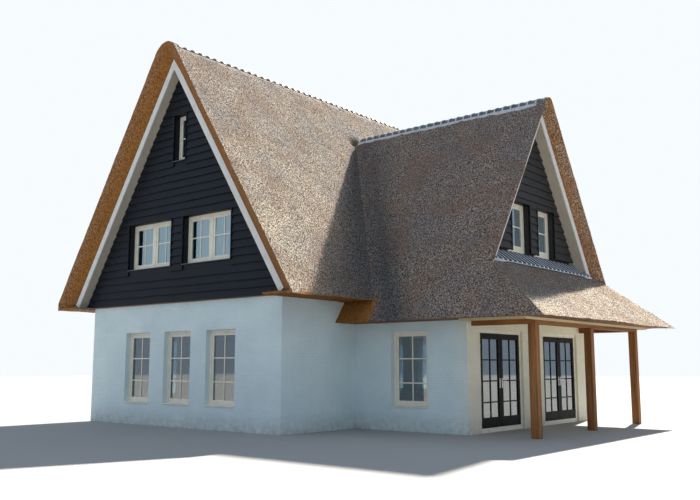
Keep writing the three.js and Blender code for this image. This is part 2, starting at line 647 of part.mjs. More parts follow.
// One sheet of glass on the inner face of each unseen wall closes that storey's windows
function buildGlazingSheets() {
  const insideY = MAIN_HALF_LENGTH - WALL - GAP;
  const reach = (centres, width) => centres[centres.length - 1] + width / 2 + SHEET_LAP;
  const groundHalf = reach(GROUND_CENTRES, GROUND_WIDTH);
  addPiece('glazing_back_ground', box(
    [AXIS_X - groundHalf, insideY - SHEET, GROUND_SILL - SHEET_LAP],
    [AXIS_X + groundHalf, insideY, GROUND_HEAD + SHEET_LAP]), MATERIALS.glass);
  const upperHalf = reach([UPPER_CENTRE], UPPER_WIDTH);
  addPiece('glazing_back_upper', box(
    [AXIS_X - upperHalf, insideY - SHEET, UPPER_SILL - SHEET_LAP],
    [AXIS_X + upperHalf, insideY, UPPER_HEAD + SHEET_LAP]), MATERIALS.glass);
  const insideX = AXIS_X - MAIN_HALF_WIDTH + WALL + GAP;
  const leftHalf = reach(LEFT_WINDOW_CENTRES, GROUND_WIDTH);
  addPiece('glazing_left', box(
    [insideX, -leftHalf, GROUND_SILL - SHEET_LAP],
    [insideX + SHEET, leftHalf, GROUND_HEAD + SHEET_LAP]), MATERIALS.glass);
}

// Upright cylinders on a hinge line, one at each height
function hingeRounds(radius, length, x, y, z) {
  return union(KNUCKLE.heights.map((height) => {
    const round = new THREE.CylinderGeometry(radius, radius, length, KNUCKLE.sides);
    round.rotateX(Math.PI / 2);
    round.translate(x, y, z + height);
    return toManifold(round);
  }));
}

// A door leaf with its hinge line at the origin, lying along +Y when shut, its outer face at X = 0
function leafSolid(width, height, side) {
  const at = (a, b) => (side > 0 ? [a, b] : [-b, -a]);
  const [y0, y1] = at(LEAF_GAP, LEAF_GAP + width);
  const [g0, g1] = at(LEAF_GAP + STILE, LEAF_GAP + width - STILE);
  const slab = box([-LEAF_THICK, y0, 0], [0, y1, height]);
  const paneX = (LEAF_THICK - PANE) / 2;
  const low = BOTTOM_RAIL;
  const high = height - TOP_RAIL;
  const outside = box([-paneX, g0, low], [PAST, g1, high]);
  const inside = box([-PAST, g0, low], [-LEAF_THICK + paneX, g1, high]);
  return cut(slab, outside, inside).add(hingeRounds(KNUCKLE.radius, KNUCKLE.length, 0, 0, 0));
}

function buildDoors() {
  const faceX = WING_END_X - DOOR_RECESS;
  [[-DOORWAY_CENTRE, 'front'], [DOORWAY_CENTRE, 'back']].forEach(([centre, word]) => {
    const half = DOORWAY_HALF - GAP;
    const clear = DOORWAY_HALF - DOOR_FRAME;
    const outer = box([faceX - DOOR_FRAME_DEPTH, centre - half, 0], [faceX, centre + half, DOOR_HEAD - GAP]);
    const mouth = box(
      [faceX - DOOR_FRAME_DEPTH - PAST, centre - clear, DOOR_SILL],
      [faceX + PAST, centre + clear, DOOR_HEAD - DOOR_FRAME]);
    const bores = [-clear, clear].map((y) => (
      hingeRounds(KNUCKLE.bore, KNUCKLE.length + 2 * GAP, faceX, centre + y, DOOR_SILL + LEAF_GAP)));
    addPiece(`door_frame_${word}`, cut(outer, mouth, ...bores), MATERIALS.joinery);
    const width = clear - LEAF_GAP - LEAF_MEETING_GAP / 2;
    const height = DOOR_HEAD - DOOR_FRAME - DOOR_SILL - 2 * LEAF_GAP;
    [[1, 'left'], [-1, 'right']].forEach(([side, hand]) => {
      const leaf = new THREE.Mesh(toGeometry(leafSolid(width, height, side)), MATERIALS.door);
      leaf.name = `door_${word}_${hand}`;
      leaf.position.set(faceX, centre - side * clear, DOOR_SILL + LEAF_GAP);
      cottage.add(leaf);
    });
  });
}

function buildVeranda() {
  const innerX = POST_OUTER_X - POST;
  [[-POST_PITCH, 'front'], [0, 'middle'], [POST_PITCH, 'back']].forEach(([y, word]) => {
    addPiece(`veranda_post_${word}`, box(
      [innerX, y - POST / 2, 0], [POST_OUTER_X, y + POST / 2, BEAM_Z[0] - GAP]), MATERIALS.oak);
  });
  const reach = POST_PITCH + POST / 2;
  addPiece('veranda_beam_outer', box(
    [innerX, -reach, BEAM_Z[0]], [POST_OUTER_X, reach, BEAM_Z[1]]), MATERIALS.oak);
  [[-1, 'front'], [1, 'back']].forEach(([side, word]) => {
    const [y0, y1] = side < 0 ? [-reach, -reach + POST] : [reach - POST, reach];
    addPiece(`veranda_beam_${word}`, box(
      [WING_END_X + GAP, y0, BEAM_Z[0]], [innerX - GAP, y1, BEAM_Z[1]]), MATERIALS.oak);
  });
  const half = CEILING.halfWidth;
  const plate = box([WING_END_X + GAP, -half, CEILING.z[0]], [CEILING.endX, half, CEILING.z[1]]);
  const rim = box([WING_END_X + GAP, -half, EAVE_BOARD.foot], [CEILING.endX, half, CEILING.z[1]]);
  const hollow = box(
    [WING_END_X - PAST, -half + EAVE_BOARD.thick, EAVE_BOARD.foot - PAST],
    [CEILING.endX - EAVE_BOARD.thick, half - EAVE_BOARD.thick, CEILING.z[0]]);
  addPiece('veranda_ceiling', plate.add(cut(rim, hollow)), MATERIALS.board);
}

buildFloors();
buildGroundWalls();
buildGables();
buildThatch();
buildRidges();
buildVerges();
buildWindows();
buildGlazingSheets();
buildDoors();
buildVeranda();

export default cottage;
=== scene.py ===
# Looks of a thatched cottage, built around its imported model.
# Metres: +X points to the veranda side, +Y to the back, +Z up; the ground is at Z = 0.
import math
from dataclasses import dataclass
import bmesh
import bpy
import numpy as np
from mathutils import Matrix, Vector, noise


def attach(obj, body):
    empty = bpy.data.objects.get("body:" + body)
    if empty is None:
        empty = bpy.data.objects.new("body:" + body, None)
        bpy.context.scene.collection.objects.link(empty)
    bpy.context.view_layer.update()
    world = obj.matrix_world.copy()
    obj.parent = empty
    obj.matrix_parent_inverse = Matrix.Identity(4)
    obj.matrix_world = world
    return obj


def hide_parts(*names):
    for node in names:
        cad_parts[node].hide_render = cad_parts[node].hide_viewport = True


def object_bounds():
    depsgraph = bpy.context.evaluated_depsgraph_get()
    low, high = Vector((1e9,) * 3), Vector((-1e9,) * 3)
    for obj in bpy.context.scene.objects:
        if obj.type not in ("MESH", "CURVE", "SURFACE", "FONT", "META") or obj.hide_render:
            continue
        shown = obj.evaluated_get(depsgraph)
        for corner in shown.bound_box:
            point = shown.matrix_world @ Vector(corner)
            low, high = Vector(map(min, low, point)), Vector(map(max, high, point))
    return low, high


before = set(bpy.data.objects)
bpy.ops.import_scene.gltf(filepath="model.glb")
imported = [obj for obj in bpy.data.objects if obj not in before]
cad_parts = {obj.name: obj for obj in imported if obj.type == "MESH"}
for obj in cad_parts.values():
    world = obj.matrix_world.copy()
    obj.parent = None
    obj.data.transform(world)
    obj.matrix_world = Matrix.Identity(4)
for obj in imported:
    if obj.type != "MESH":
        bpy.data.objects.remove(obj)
cad_low, cad_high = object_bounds()
rng = np.random.default_rng(11)

# Main wing
AXIS_X = -2.199
MAIN_HALF_WIDTH = 3.547
MAIN_HALF_LENGTH = 5.611
MAIN_LEFT_X = AXIS_X - MAIN_HALF_WIDTH
MAIN_RIGHT_X = AXIS_X + MAIN_HALF_WIDTH
MAIN_SLOPE = 1.542
MAIN_RIDGE_X = -2.264
MAIN_APEX = 9.9
MAIN_INNER_APEX = 9.175
MAIN_EAVE_Z = 2.965
MAIN_BOARD_Y = 5.968
MAIN_CLADDING_Y = 5.681
CLADDING_FOOT = 3.018

# Cross wing
WING_HALF_WIDTH = 3.075
WING_END_X = 4.431
WING_SLOPE = 1.514
WING_APEX = 8.28
WING_INNER_APEX = 7.871
WING_EAVE_Z = 2.457
WING_BOARD_X = 4.85
WING_CLADDING_X = 4.531

# Hipped thatch skirt over the veranda
SKIRT_LIP_X = 6.632
SKIRT_SLOPE = 0.77

# Tile apron at the foot of the wing gable, with rows past its ends that start further out
APRON_START_X = WING_CLADDING_X + 0.002
APRON_END_X = 4.928
APRON_HALF = 2.13
APRON_TILES = 19
APRON_PITCH = 2 * APRON_HALF / APRON_TILES
APRON_NEAR_ROWS = 3
APRON_FAR_ROWS = 2
APRON_OPEN_Y = 2.47

# How much further the painted shadow of the wing gable reaches down the skirt at the front than at the back
APRON_SHADOW_SLANT = 1.05

# How far below the thatch's underside the soffit lies
SOFFIT_DROP = 0.275
SOFFIT_FOOT = 4.1515

# Ridges: tile and seat as (half width, foot, top), mortar skirt as (sideways, height) from the tile outwards,
# body between a tile's collars as (share of its width, drop from its crown), cap as the mortar of the ends
MAIN_RIDGE = {
    "tile": (0.125, 9.44, 9.574),
    "skirt": ((0.12, 9.462), (0.24, 9.392), (0.4, 9.294)),
    "floor": 9.2,
    "span": (-6.12, 6.12),
    "bed": (-5.97, 5.97),
    "seat": (0.17, 9.39, 9.455),
    "pitch": 0.25,
    "body": (0.88, 0.045),
    "cap": {"centre": 9.0876, "radius": 0.457, "reach": 0.3, "spans": ((-6.18, -6.05), (6.05, 6.18))},
}
WING_RIDGE = {
    "tile": (0.148, 7.99, 8.148),
    "skirt": ((0.14, 8.0), (0.2, 7.98), (0.26, 7.908)),
    "floor": 7.86,
    "span": (-0.86, 5.03),
    "bed": (-0.86, 4.85),
    "seat": (0.13, 7.975, 8.0),
    "pitch": 0.2365,
    "body": (0.93, 0.017),
    "cap": {"centre": 7.924, "radius": 0.208, "reach": 0.09, "spans": ((5.0, 5.05),)},
}

# Turns about Z from a wall that faces -Y to the walls that face each way
FACE_FRONT = 0
FACE_RIGHT = math.pi / 2
FACE_BACK = math.pi
FACE_LEFT = -math.pi / 2

# The front and back: word, turn of the walls that face there and way along Y
SIDES = (("front", FACE_FRONT, -1), ("back", FACE_BACK, 1))

# Step that keeps neighbouring faces apart
HAIR = 0.001

# Edges sharper than these stay sharp, on smooth pieces and on the thatch
SHARP = math.radians(40)
COAT_SHARP = math.radians(35)


def skirt_z(x):
    """Height of the skirt's outer plane."""
    return WING_EAVE_Z + SKIRT_SLOPE * (SKIRT_LIP_X - x)


def turned(points, turn, origin):
    """Points turned about Z and moved to an origin."""
    points = np.asarray(points, float)
    c, s = math.cos(turn), math.sin(turn)
    x = points[:, 0] * c - points[:, 1] * s + origin[0]
    y = points[:, 0] * s + points[:, 1] * c + origin[1]
    return np.column_stack([x, y, points[:, 2] + origin[2]])


# Pieces


def add_object(name, mesh, material, body="house", replaces=()):
    """Links a mesh as a piece that rides on a body."""
    mesh.materials.clear()
    mesh.materials.append(material)
    piece = bpy.data.objects.new(name, mesh)
    bpy.context.scene.collection.objects.link(piece)
    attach(piece, body)
    if replaces:
        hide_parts(*replaces)
    return piece


def add_solids(name, points, size, pattern, material):
    """A piece of many solids with the same number of points and the same faces."""
    starts = np.arange(0, len(points), size)[:, None, None]
    faces = (starts + np.array(pattern)).reshape(-1, len(pattern[0]))
    mesh = bpy.data.meshes.new(name)
    mesh.from_pydata(points.tolist(), [], faces.tolist())
    return add_object(name, mesh, material)


class Batch:
    """Points and faces of one piece, gathered from many solids, then turned about Z and moved."""

    def __init__(self, turn=0, origin=(0, 0, 0)):
        self.turn = turn
        self.origin = origin
        self.points = []
        self.faces = []
        self.count = 0

    def loft(self, rings):
        """A capped solid through rings of points with the same count."""
        rings = np.asarray(rings, float)
        number, size = rings.shape[:2]
        faces = [(a + j, a + (j + 1) % size, a + size + (j + 1) % size, a + size + j)
                 for a in range(0, (number - 1) * size, size) for j in range(size)]
        faces.append(range(size - 1, -1, -1))
        faces.append(range((number - 1) * size, number * size))
        self.faces.extend(tuple(i + self.count for i in face) for face in faces)
        self.points.append(rings.reshape(-1, 3))
        self.count += number * size

    def box(self, low, high):
        (x0, y0, z0), (x1, y1, z1) = low, high
        corners = [(x0, y0), (x1, y0), (x1, y1), (x0, y1)]
        self.loft([[(x, y, z) for x, y in corners] for z in (z0, z1)])

    def extrude(self, profile, start, end, last=None):
        """A solid along X from one (y, z) profile to another, or to the same one."""
        self.loft([[(start, y, z) for y, z in profile], [(end, y, z) for y, z in last or profile]])

    def rod(self, start, end, radius, sides=10):
        """A round bar between two points."""
        start, end = Vector(start), Vector(end)
        way = (end - start).normalized()
        side = way.orthogonal().normalized()
        other = way.cross(side)
        turns = [2 * math.pi * i / sides for i in range(sides)]
        rim = [side * math.cos(t) * radius + other * math.sin(t) * radius for t in turns]
        self.loft([[tuple(end_point + r) for r in rim] for end_point in (start, end)])

    def mesh(self, name):
        mesh = bpy.data.meshes.new(name)
        points = turned(np.concatenate(self.points), self.turn, self.origin)
        mesh.from_pydata(points.tolist(), [], self.faces)
        return mesh

    def piece(self, name, material, slot, body="house", replaces=(), bevel=0.0, smooth=False):
        mesh = self.mesh(name)
        solid = bmesh.new()
        solid.from_mesh(mesh)
        bmesh.ops.recalc_face_normals(solid, faces=solid.faces)
        solid.to_mesh(mesh)
        solid.free()
        if smooth:
            mesh.shade_smooth()
            mesh.set_sharp_from_angle(angle=SHARP)
        piece = add_object(name, mesh, material, body, replaces)
        if bevel:
            modifier = piece.modifiers.new("edges", "BEVEL")
            modifier.width = bevel
            modifier.segments = 2
            modifier.limit_method = "ANGLE"
        return piece


# Finishes


class Finish:
    """A node material in object coordinates."""

    def __init__(self, name, roughness, **sockets):
        self.material = bpy.data.materials.new(name)
        self.material.use_nodes = True
        self.tree = self.material.node_tree
        self.shader = self.tree.nodes["Principled BSDF"]
        self.shader.inputs["Roughness"].default_value = roughness
        for socket, value in sockets.items():
            self.shader.inputs[socket.replace("_", " ")].default_value = value
        self.coords = self.node("ShaderNodeTexCoord").outputs["Object"]

    def node(self, kind, inputs=None, **settings):
        node = self.tree.nodes.new(kind)
        for setting, value in settings.items():
            setattr(node, setting, value)
        for socket, value in (inputs or {}).items():
            self.feed(node.inputs[socket], value)
        return node

    def feed(self, socket, value):
        """Links a socket or sets its value, with full alpha where the value is a colour."""
        if isinstance(value, bpy.types.NodeSocket):
            self.tree.links.new(value, socket)
        else:
            socket.default_value = (*value, 1) if socket.type == "RGBA" else value

    def scaled(self, x, y, z):
        """Object coordinates scaled along each axis."""
        return self.node("ShaderNodeMapping", {"Vector": self.coords, "Scale": (x, y, z)}).outputs[0]

    def noise(self, scale, detail=3.0, roughness=0.5, vector=None):
        inputs = {"Vector": vector or self.coords, "Scale": scale, "Detail": detail, "Roughness": roughness}
        return self.node("ShaderNodeTexNoise", inputs).outputs["Fac"]

    def spread(self, value, low, high, to_low=0.0, to_high=1.0):
        """Value stretched from one range to another, and held inside it."""
        inputs = {"Value": value, "From Min": low, "From Max": high, "To Min": to_low, "To Max": to_high}
        return self.node("ShaderNodeMapRange", inputs).outputs[0]

    def math(self, operation, a, b=0.0):
        return self.node("ShaderNodeMath", {0: a, 1: b}, operation=operation).outputs[0]

    def mix(self, factor, a, b):
        return self.node("ShaderNodeMix", {0: factor, 6: a, 7: b}, data_type="RGBA").outputs[2]

    def ramp(self, factor, *colours, places=None):
        """Colours along a factor, evenly spaced unless their places are given."""
        node = self.node("ShaderNodeValToRGB", {"Fac": factor})
        elements = node.color_ramp.elements
        while len(elements) < len(colours):
            elements.new(0.5)
        for element, place, colour in zip(elements, places or np.linspace(0, 1, len(colours)), colours):
            element.position = place
            element.color = (*colour, 1)
        return node.outputs[0]

    def tone(self, value, dark, light, low=0.3, high=0.7):
        """Two colours blended along a noise."""
        return self.ramp(self.spread(value, low, high), dark, light)

    def zones(self):
        """The thatch's zones: shares of cut reed, of bleached and sunlit reed, and of painted shade."""
        zones = self.node("ShaderNodeAttribute", attribute_name="zones").outputs["Color"]
        return self.node("ShaderNodeSeparateColor", {"Color": zones}).outputs

    def bump(self, height, strength, distance, below=None):
        inputs = {"Height": height, "Strength": strength, "Distance": distance}
        return self.node("ShaderNodeBump", {**inputs, "Normal": below} if below else inputs).outputs[0]

    def done(self, colour, roughness=None, normal=None):
        for socket, value in (("Base Color", colour), ("Roughness", roughness), ("Normal", normal)):
            if value is not None:
                self.feed(self.shader.inputs[socket], value)
        return self.material


def thatch_finish():
    """Weathered reed ends outside, lighter where the sun falls (part bleaching, part painted sunlight) and
    darkened with painted shade, fresh orange-brown cut ends at verges and undersides.
    """
    f = Finish("thatch_reed", 0.95, Specular_IOR_Level=0.15)
    cut, bleach_and_sunlight, painted_shade = f.zones()
    drawn = f.scaled(1.0, 1.0, 0.6)
    ends = f.noise(40.0, 4.0, 0.72, drawn)
    clumps = f.noise(21.0, 3.0, 0.6, drawn)
    patches = f.noise(1.0, 4.0, 0.6)
    stains = f.noise(1.1, 3.0, 0.6, f.scaled(1.0, 1.0, 0.45))
    speckle = f.math("ADD", f.spread(ends, 0.415, 0.585), f.spread(clumps, 0.3, 0.7, -0.16, 0.16))
    worn = f.ramp(speckle, (0.027, 0.022, 0.02), (0.12, 0.098, 0.086), (0.27, 0.22, 0.19),
                  (0.52, 0.43, 0.365), places=(0.0, 0.33, 0.65, 1.0))
    # Lighter copy of the reed for faces the sun falls on: part sun bleaching, part painted sunlight
    bleached_and_sunlit = f.ramp(speckle, (0.035, 0.026, 0.019), (0.16, 0.124, 0.095), (0.56, 0.455, 0.34),
                      (0.92, 0.8, 0.64), places=(0.0, 0.33, 0.62, 1.0))
    fresh = f.ramp(speckle, (0.16, 0.06, 0.014), (0.28, 0.12, 0.033), (0.4, 0.19, 0.06))
    # Dark grey of painted shade: the valley crease, the wing roof's shadow on the main slope, the hollow and
    # the wing gable's shadow on the skirt
    painted_shade_grey = f.ramp(speckle, (0.016, 0.018, 0.02), (0.14, 0.145, 0.15))
    outside = f.mix(bleach_and_sunlight, worn, bleached_and_sunlit)
    for share, tint in ((f.spread(patches, 0.44, 0.62, 0.0, 0.85), (0.225, 0.122, 0.07)),
                        (f.spread(stains, 0.45, 0.65, 0.0, 0.45), (0.11, 0.13, 0.175))):
        outside = f.mix(share, outside, f.mix(0.5, outside, tint))
    outside = f.mix(f.math("MULTIPLY", painted_shade, 0.85), outside, painted_shade_grey)
    relief = f.spread(cut, 0.0, 1.0, 1.0, 0.2)
    normal = f.bump(clumps, f.math("MULTIPLY", relief, 0.5), 0.04, f.bump(ends, relief, 0.022))
    return f.done(f.mix(cut, outside, fresh), None, normal)


def reed_finish():
    """Loose reed stems: light straw with darker stems among them."""
    f = Finish("loose_reed", 0.8, Specular_IOR_Level=0.25)
    cut, bleach_and_sunlight, painted_shade = f.zones()
    stems = f.noise(16.0, 2.0, 0.6)
    tone = f.spread(stems, 0.35, 0.65)
    worn = f.ramp(tone, (0.045, 0.036, 0.03), (0.17, 0.14, 0.12), (0.4, 0.34, 0.29))
    # Lighter copy of the stems where the sun falls: part sun bleaching, part painted sunlight
    bleached_and_sunlit = f.ramp(tone, (0.09, 0.066, 0.05), (0.36, 0.3, 0.235), (0.76, 0.66, 0.54))
    fresh = f.ramp(tone, (0.14, 0.05, 0.012), (0.31, 0.13, 0.032), (0.46, 0.23, 0.075))
    # Stems take the coat's painted shade and painted sunlight
    outside = f.mix(painted_shade, f.mix(bleach_and_sunlight, worn, bleached_and_sunlit), (0.06, 0.062, 0.064))
    return f.done(f.mix(cut, outside, fresh), None, f.bump(stems, 0.2, 0.002))


def painted_brick_finish(name, dull, clear):
    """Masonry paint, a little soiled near the ground."""
    f = Finish(name, 0.72, Specular_IOR_Level=0.35)
    soil = f.noise(9.0, 4.0, 0.65)
    height = f.node("ShaderNodeSeparateXYZ", {0: f.coords}).outputs[2]
    low = f.spread(height, 0.0, 0.45, 1.0, 0.0)
    clean = f.tone(f.noise(1.3, 4.0, 0.6), dull, clear)
    soiled = f.mix(f.math("MULTIPLY", low, f.spread(soil, 0.35, 0.65, 0.15, 0.7)), clean, (0.42, 0.4, 0.35))
    normal = f.bump(f.noise(260.0, 3.0, 0.6), 0.25, 0.0015, f.bump(f.noise(45.0), 0.25, 0.003))
    return f.done(soiled, f.spread(soil, 0.3, 0.7, 0.62, 0.85), normal)


def board_finish(name, dark, light, roughness, scale=3.0):
    """Stained or painted timber whose grain runs level along X and Y."""
    f = Finish(name, roughness, Specular_IOR_Level=0.25)
    grain = f.noise(scale, 6.0, 0.7, f.scaled(0.5, 0.5, 26.0))
    fleck = f.noise(2.1, 3.0, 0.6)
    blend = f.math("ADD", f.spread(grain, 0.3, 0.7, 0.0, 0.75), f.spread(fleck, 0.3, 0.7, 0.0, 0.25))
    colour = f.ramp(blend, dark, light)
    return f.done(colour, f.spread(grain, 0.3, 0.7, roughness - 0.1, roughness + 0.12),
                  f.bump(grain, 0.4, 0.002))


def paint_finish(name, colour, shade, roughness, gloss=0.45):
    """Brushed paint with faint soiling."""
    f = Finish(name, roughness, Specular_IOR_Level=gloss)
    soil = f.noise(5.0, 5.0, 0.65)
    brush = f.noise(60.0, 3.0, 0.5, f.scaled(0.3, 0.3, 1.0))
    mixed = f.mix(f.spread(soil, 0.45, 0.75, 0.0, 0.6), colour, shade)
    return f.done(mixed, f.spread(soil, 0.3, 0.7, roughness - 0.08, roughness + 0.12),
                  f.bump(brush, 0.12, 0.0012))


def oak_finish(name, along, dark, middle, light):
    """Oiled oak with grain along its length and darker growth bands."""
    f = Finish(name, 0.6, Specular_IOR_Level=0.3)
    drawn = f.scaled(*along)
    grain = f.noise(1.6, 7.0, 0.72, drawn)
    bands = f.noise(0.35, 2.0, 0.5, drawn)
    blend = f.math("ADD", f.spread(grain, 0.3, 0.7, 0.0, 0.6), f.spread(bands, 0.35, 0.65, 0.0, 0.4))
    colour = f.ramp(blend, dark, middle, light)
    return f.done(colour, f.spread(grain, 0.3, 0.7, 0.5, 0.75), f.bump(grain, 0.5, 0.003))


def tile_finish(name, dark, light, roughness, rows=None):
    """Blue-grey fired tile with kiln flecks, and a painted highlight along each tile's crown in rows (first
    edge, pitch) across Y.
    """
    f = Finish(name, roughness, Specular_IOR_Level=0.6)
    fleck = f.noise(60.0, 3.0, 0.6)
    base = f.tone(f.noise(3.5, 3.0, 0.6), dark, light, 0.35, 0.65)
    colour = f.mix(f.spread(fleck, 0.58, 0.7, 0.0, 0.35), base, (0.19, 0.2, 0.2))
    if rows:
        across = f.node("ShaderNodeSeparateXYZ", {0: f.coords}).outputs[1]
        share = f.math("FRACT", f.math("DIVIDE", f.math("SUBTRACT", across, rows[0]), rows[1]))
        # Painted highlight: a pale band down the middle of each row
        crown = f.spread(f.math("ABSOLUTE", f.math("SUBTRACT", share, 0.5)), 0.07, 0.13, 1.0, 0.0)
        colour = f.mix(crown, colour, (0.92, 0.95, 0.98))
    return f.done(colour, f.spread(fleck, 0.3, 0.7, roughness - 0.08, roughness + 0.15),
                  f.bump(fleck, 0.25, 0.002))


def mortar_finish(name, dark, light):
    f = Finish(name, 0.92, Specular_IOR_Level=0.2)
    tone = f.noise(8.0, 4.0, 0.65)
    grit = f.noise(120.0, 3.0, 0.7)
    return f.done(f.tone(tone, dark, light), None, f.bump(grit, 0.5, 0.004, f.bump(tone, 0.4, 0.01)))


def concrete_finish():
    f = Finish("concrete", 0.88, Specular_IOR_Level=0.3)
    colour = f.tone(f.noise(2.0, 5.0, 0.6), (0.2, 0.2, 0.19), (0.31, 0.31, 0.3))
    return f.done(colour, None, f.bump(f.noise(70.0, 3.0, 0.7), 0.35, 0.003))


def glass_finish(name, dull, clear, ior, through=1.0, tint=(1.0, 1.0, 1.0)):
    """Glazing that lets through a share of the light and mirrors the rest with a tint."""
    f = Finish(name, 0.02, Transmission_Weight=through, IOR=ior, Specular_IOR_Level=1.0,
               Specular_Tint=(*tint, 1.0))
    return f.done(f.tone(f.noise(3.0, 2.0, 0.5), dull, clear))


def net_finish():
    """Net cloth with a fine square weave: white with a cyan cast that stands in for sky reflection on the
    panes in front.
    """
    f = Finish("net_curtain", 0.9, Sheen_Weight=0.25, Specular_IOR_Level=0.1)
    threads = [f.node("ShaderNodeTexWave", {"Vector": f.coords, "Scale": 160.0, "Distortion": 0.6},
                      bands_direction=way).outputs["Fac"] for way in ("X", "Z")]
    weave = f.math("MULTIPLY", *threads)
    # Pale cyan cloth: white net with painted sky reflection from the glass
    cloth = f.tone(f.noise(2.5, 3.0, 0.5), (0.66, 0.88, 0.96), (0.74, 0.94, 1.0))
    return f.done(f.mix(f.spread(weave, 0.0, 1.0, 0.12, 0.0), cloth, (0.45, 0.52, 0.58)), None,
                  f.bump(weave, 0.3, 0.0006))


def metal_finish(name, roughness, dark, light):
    f = Finish(name, roughness, Metallic=1.0)
    brush = f.noise(30.0, 3.0, 0.6, f.scaled(1.0, 1.0, 12.0))
    return f.done(f.tone(brush, dark, light), f.spread(brush, 0.3, 0.7, roughness - 0.08, roughness + 0.1))


THATCH = thatch_finish()
REED = reed_finish()
# White masonry paint with a pale blue-green cast; the cast stands in partly for cool sky light on walls in
# shade
BRICK = painted_brick_finish("painted_brick", (0.63, 0.75, 0.78), (0.72, 0.83, 0.85))
# Cream tint on the bricks of the wing gable under the veranda: painted warm light bounced up into the veranda
WARM_BOUNCE_BRICK = painted_brick_finish("warm_bounce_brick", (0.76, 0.73, 0.6), (0.84, 0.81, 0.69))
CLADDING = board_finish("weatherboard", (0.002, 0.003, 0.0055), (0.011, 0.016, 0.025), 0.5)
FADED_CLADDING = board_finish("faded_weatherboard", (0.015, 0.0145, 0.0145), (0.043, 0.042, 0.044), 0.5)
BATTEN = board_finish("batten", (0.2, 0.1, 0.04), (0.34, 0.19, 0.085), 0.7)
BOARD = paint_finish("bargeboard", (0.75, 0.75, 0.73), (0.56, 0.55, 0.52), 0.5)
SOFFIT = paint_finish("soffit", (0.56, 0.51, 0.42), (0.43, 0.39, 0.32), 0.6)
CEILING = board_finish("ceiling_board", (0.56, 0.46, 0.25), (0.74, 0.64, 0.4), 0.55)
JOINERY = paint_finish("window_joinery", (0.86, 0.82, 0.7), (0.68, 0.64, 0.53), 0.42)
DOOR = paint_finish("door_joinery", (0.007, 0.007, 0.007), (0.013, 0.013, 0.012), 0.5, 0.12)
OAK_UPRIGHT = oak_finish("oak_upright", (22.0, 22.0, 1.1), (0.1, 0.035, 0.01), (0.27, 0.11, 0.032),
                         (0.42, 0.2, 0.07))
# Oak of the level beams, darker and redder than the posts' oak: painted shade under the eaves
SHADED_OAK_LEVEL = oak_finish("shaded_oak_level", (1.1, 1.1, 22.0), (0.06, 0.018, 0.004), (0.23, 0.082, 0.017),
                       (0.4, 0.17, 0.045))
TILE = tile_finish("ridge_tile", (0.06, 0.075, 0.1), (0.13, 0.155, 0.195), 0.3)
SATIN_TILE = tile_finish("satin_ridge_tile", (0.08, 0.095, 0.12), (0.15, 0.175, 0.21), 0.4)
# Apron tiles carry a painted highlight along their crowns
APRON_TILE = tile_finish("apron_tile", (0.01, 0.03, 0.065), (0.03, 0.065, 0.11), 0.5,
                         (-APRON_HALF, APRON_PITCH))
MORTAR = mortar_finish("mortar", (0.46, 0.48, 0.5), (0.66, 0.67, 0.68))
WORN_MORTAR = mortar_finish("worn_mortar", (0.13, 0.11, 0.09), (0.26, 0.22, 0.18))
CONCRETE = concrete_finish()
GLASS = glass_finish("glass", (0.5, 0.62, 0.68), (0.6, 0.71, 0.77), 2.2)
CLEAR_GLASS = glass_finish("clear_glass", (0.84, 0.97, 1.0), (0.88, 0.99, 1.0), 4.0,
                           tint=(0.78, 0.99, 1.0))
# Gable glazing whose diffuse blue-grey share stands in for the sky's reflection: painted reflection
SKY_REFLECTION_GLASS = glass_finish("sky_reflection_glass", (0.36, 0.47, 0.5), (0.44, 0.55, 0.58), 2.2, 0.55)
STEEL = metal_finish("brushed_steel", 0.32, (0.45, 0.45, 0.44), (0.62, 0.62, 0.6))
ZINC = metal_finish("zinc", 0.5, (0.13, 0.16, 0.18), (0.22, 0.26, 0.29))
NET = net_finish()


# Thatch

THATCH_NODES = ("thatch_main_left", "thatch_main_right", "thatch_wing_front", "thatch_wing_back",
                "thatch_veranda")

# Spacing of the planes across X, Y and Z that divide the coat's faces
THATCH_GRID = (0.12, 0.09, 0.075)
EDGE_MARGIN = 0.002
WELD = 1e-5
FLAT = math.radians(0.3)

# How far the coat stays under a ridge's mortar skirt, and the places above and beyond which it does
SEAT = 0.012
MAIN_SEAT_Z = 9.15
WING_SEAT_Z = 7.75
WING_SEAT_X = -0.9

# Height above which all of the coat is outside, and start of the wing's slopes
RIDGE_TOP = 9.25
WING_START_X = -1.5

# Hollow in the coat where the wing ridge starts: its middle, its half sizes and its depth
HOLLOW = (-1.09, -0.16, 8.04)
HOLLOW_SIZE = (0.15, 0.22, 0.13)
HOLLOW_DEPTH = 0.24

# Waves per metre of the coat's outside and their heights; waves of a verge's face and how far they reach
WAVES = (0.8, 2.6, 7.0)
WAVE_HEIGHTS = (0.03, 0.014, 0.012)
VERGE_WAVE = 4.0
VERGE_BACK = 0.012

# How much of a verge next to its bargeboard stays flat, and height over the skirt where the wing's starts
VERGE_COVER = 0.03
OVER_SKIRT = 0.06

# Facing across which a slope turns into the cut end of a verge, and stretch of the valleys along X
VERGE_FACING = (0.45, 0.7)
VALLEY_START_X = -1.3
VALLEY_END_X = 2.3

# Shares of cut reed, of bleached and sunlit reed (part painted sunlight), and of painted shade
UNDER_CUT = 0.6
HOLLOW_SHADE_CUT = 0.5
LEFT_BLEACH_AND_SUN = 0.3
BACK_BLEACH_AND_SUN = 0.1
RIDGE_BLEACH_AND_SUN = 0.46
APRON_SHADOW_DIM = 0.75
APRON_SHADOW = 0.3
VALLEY_SHADOW = 0.8


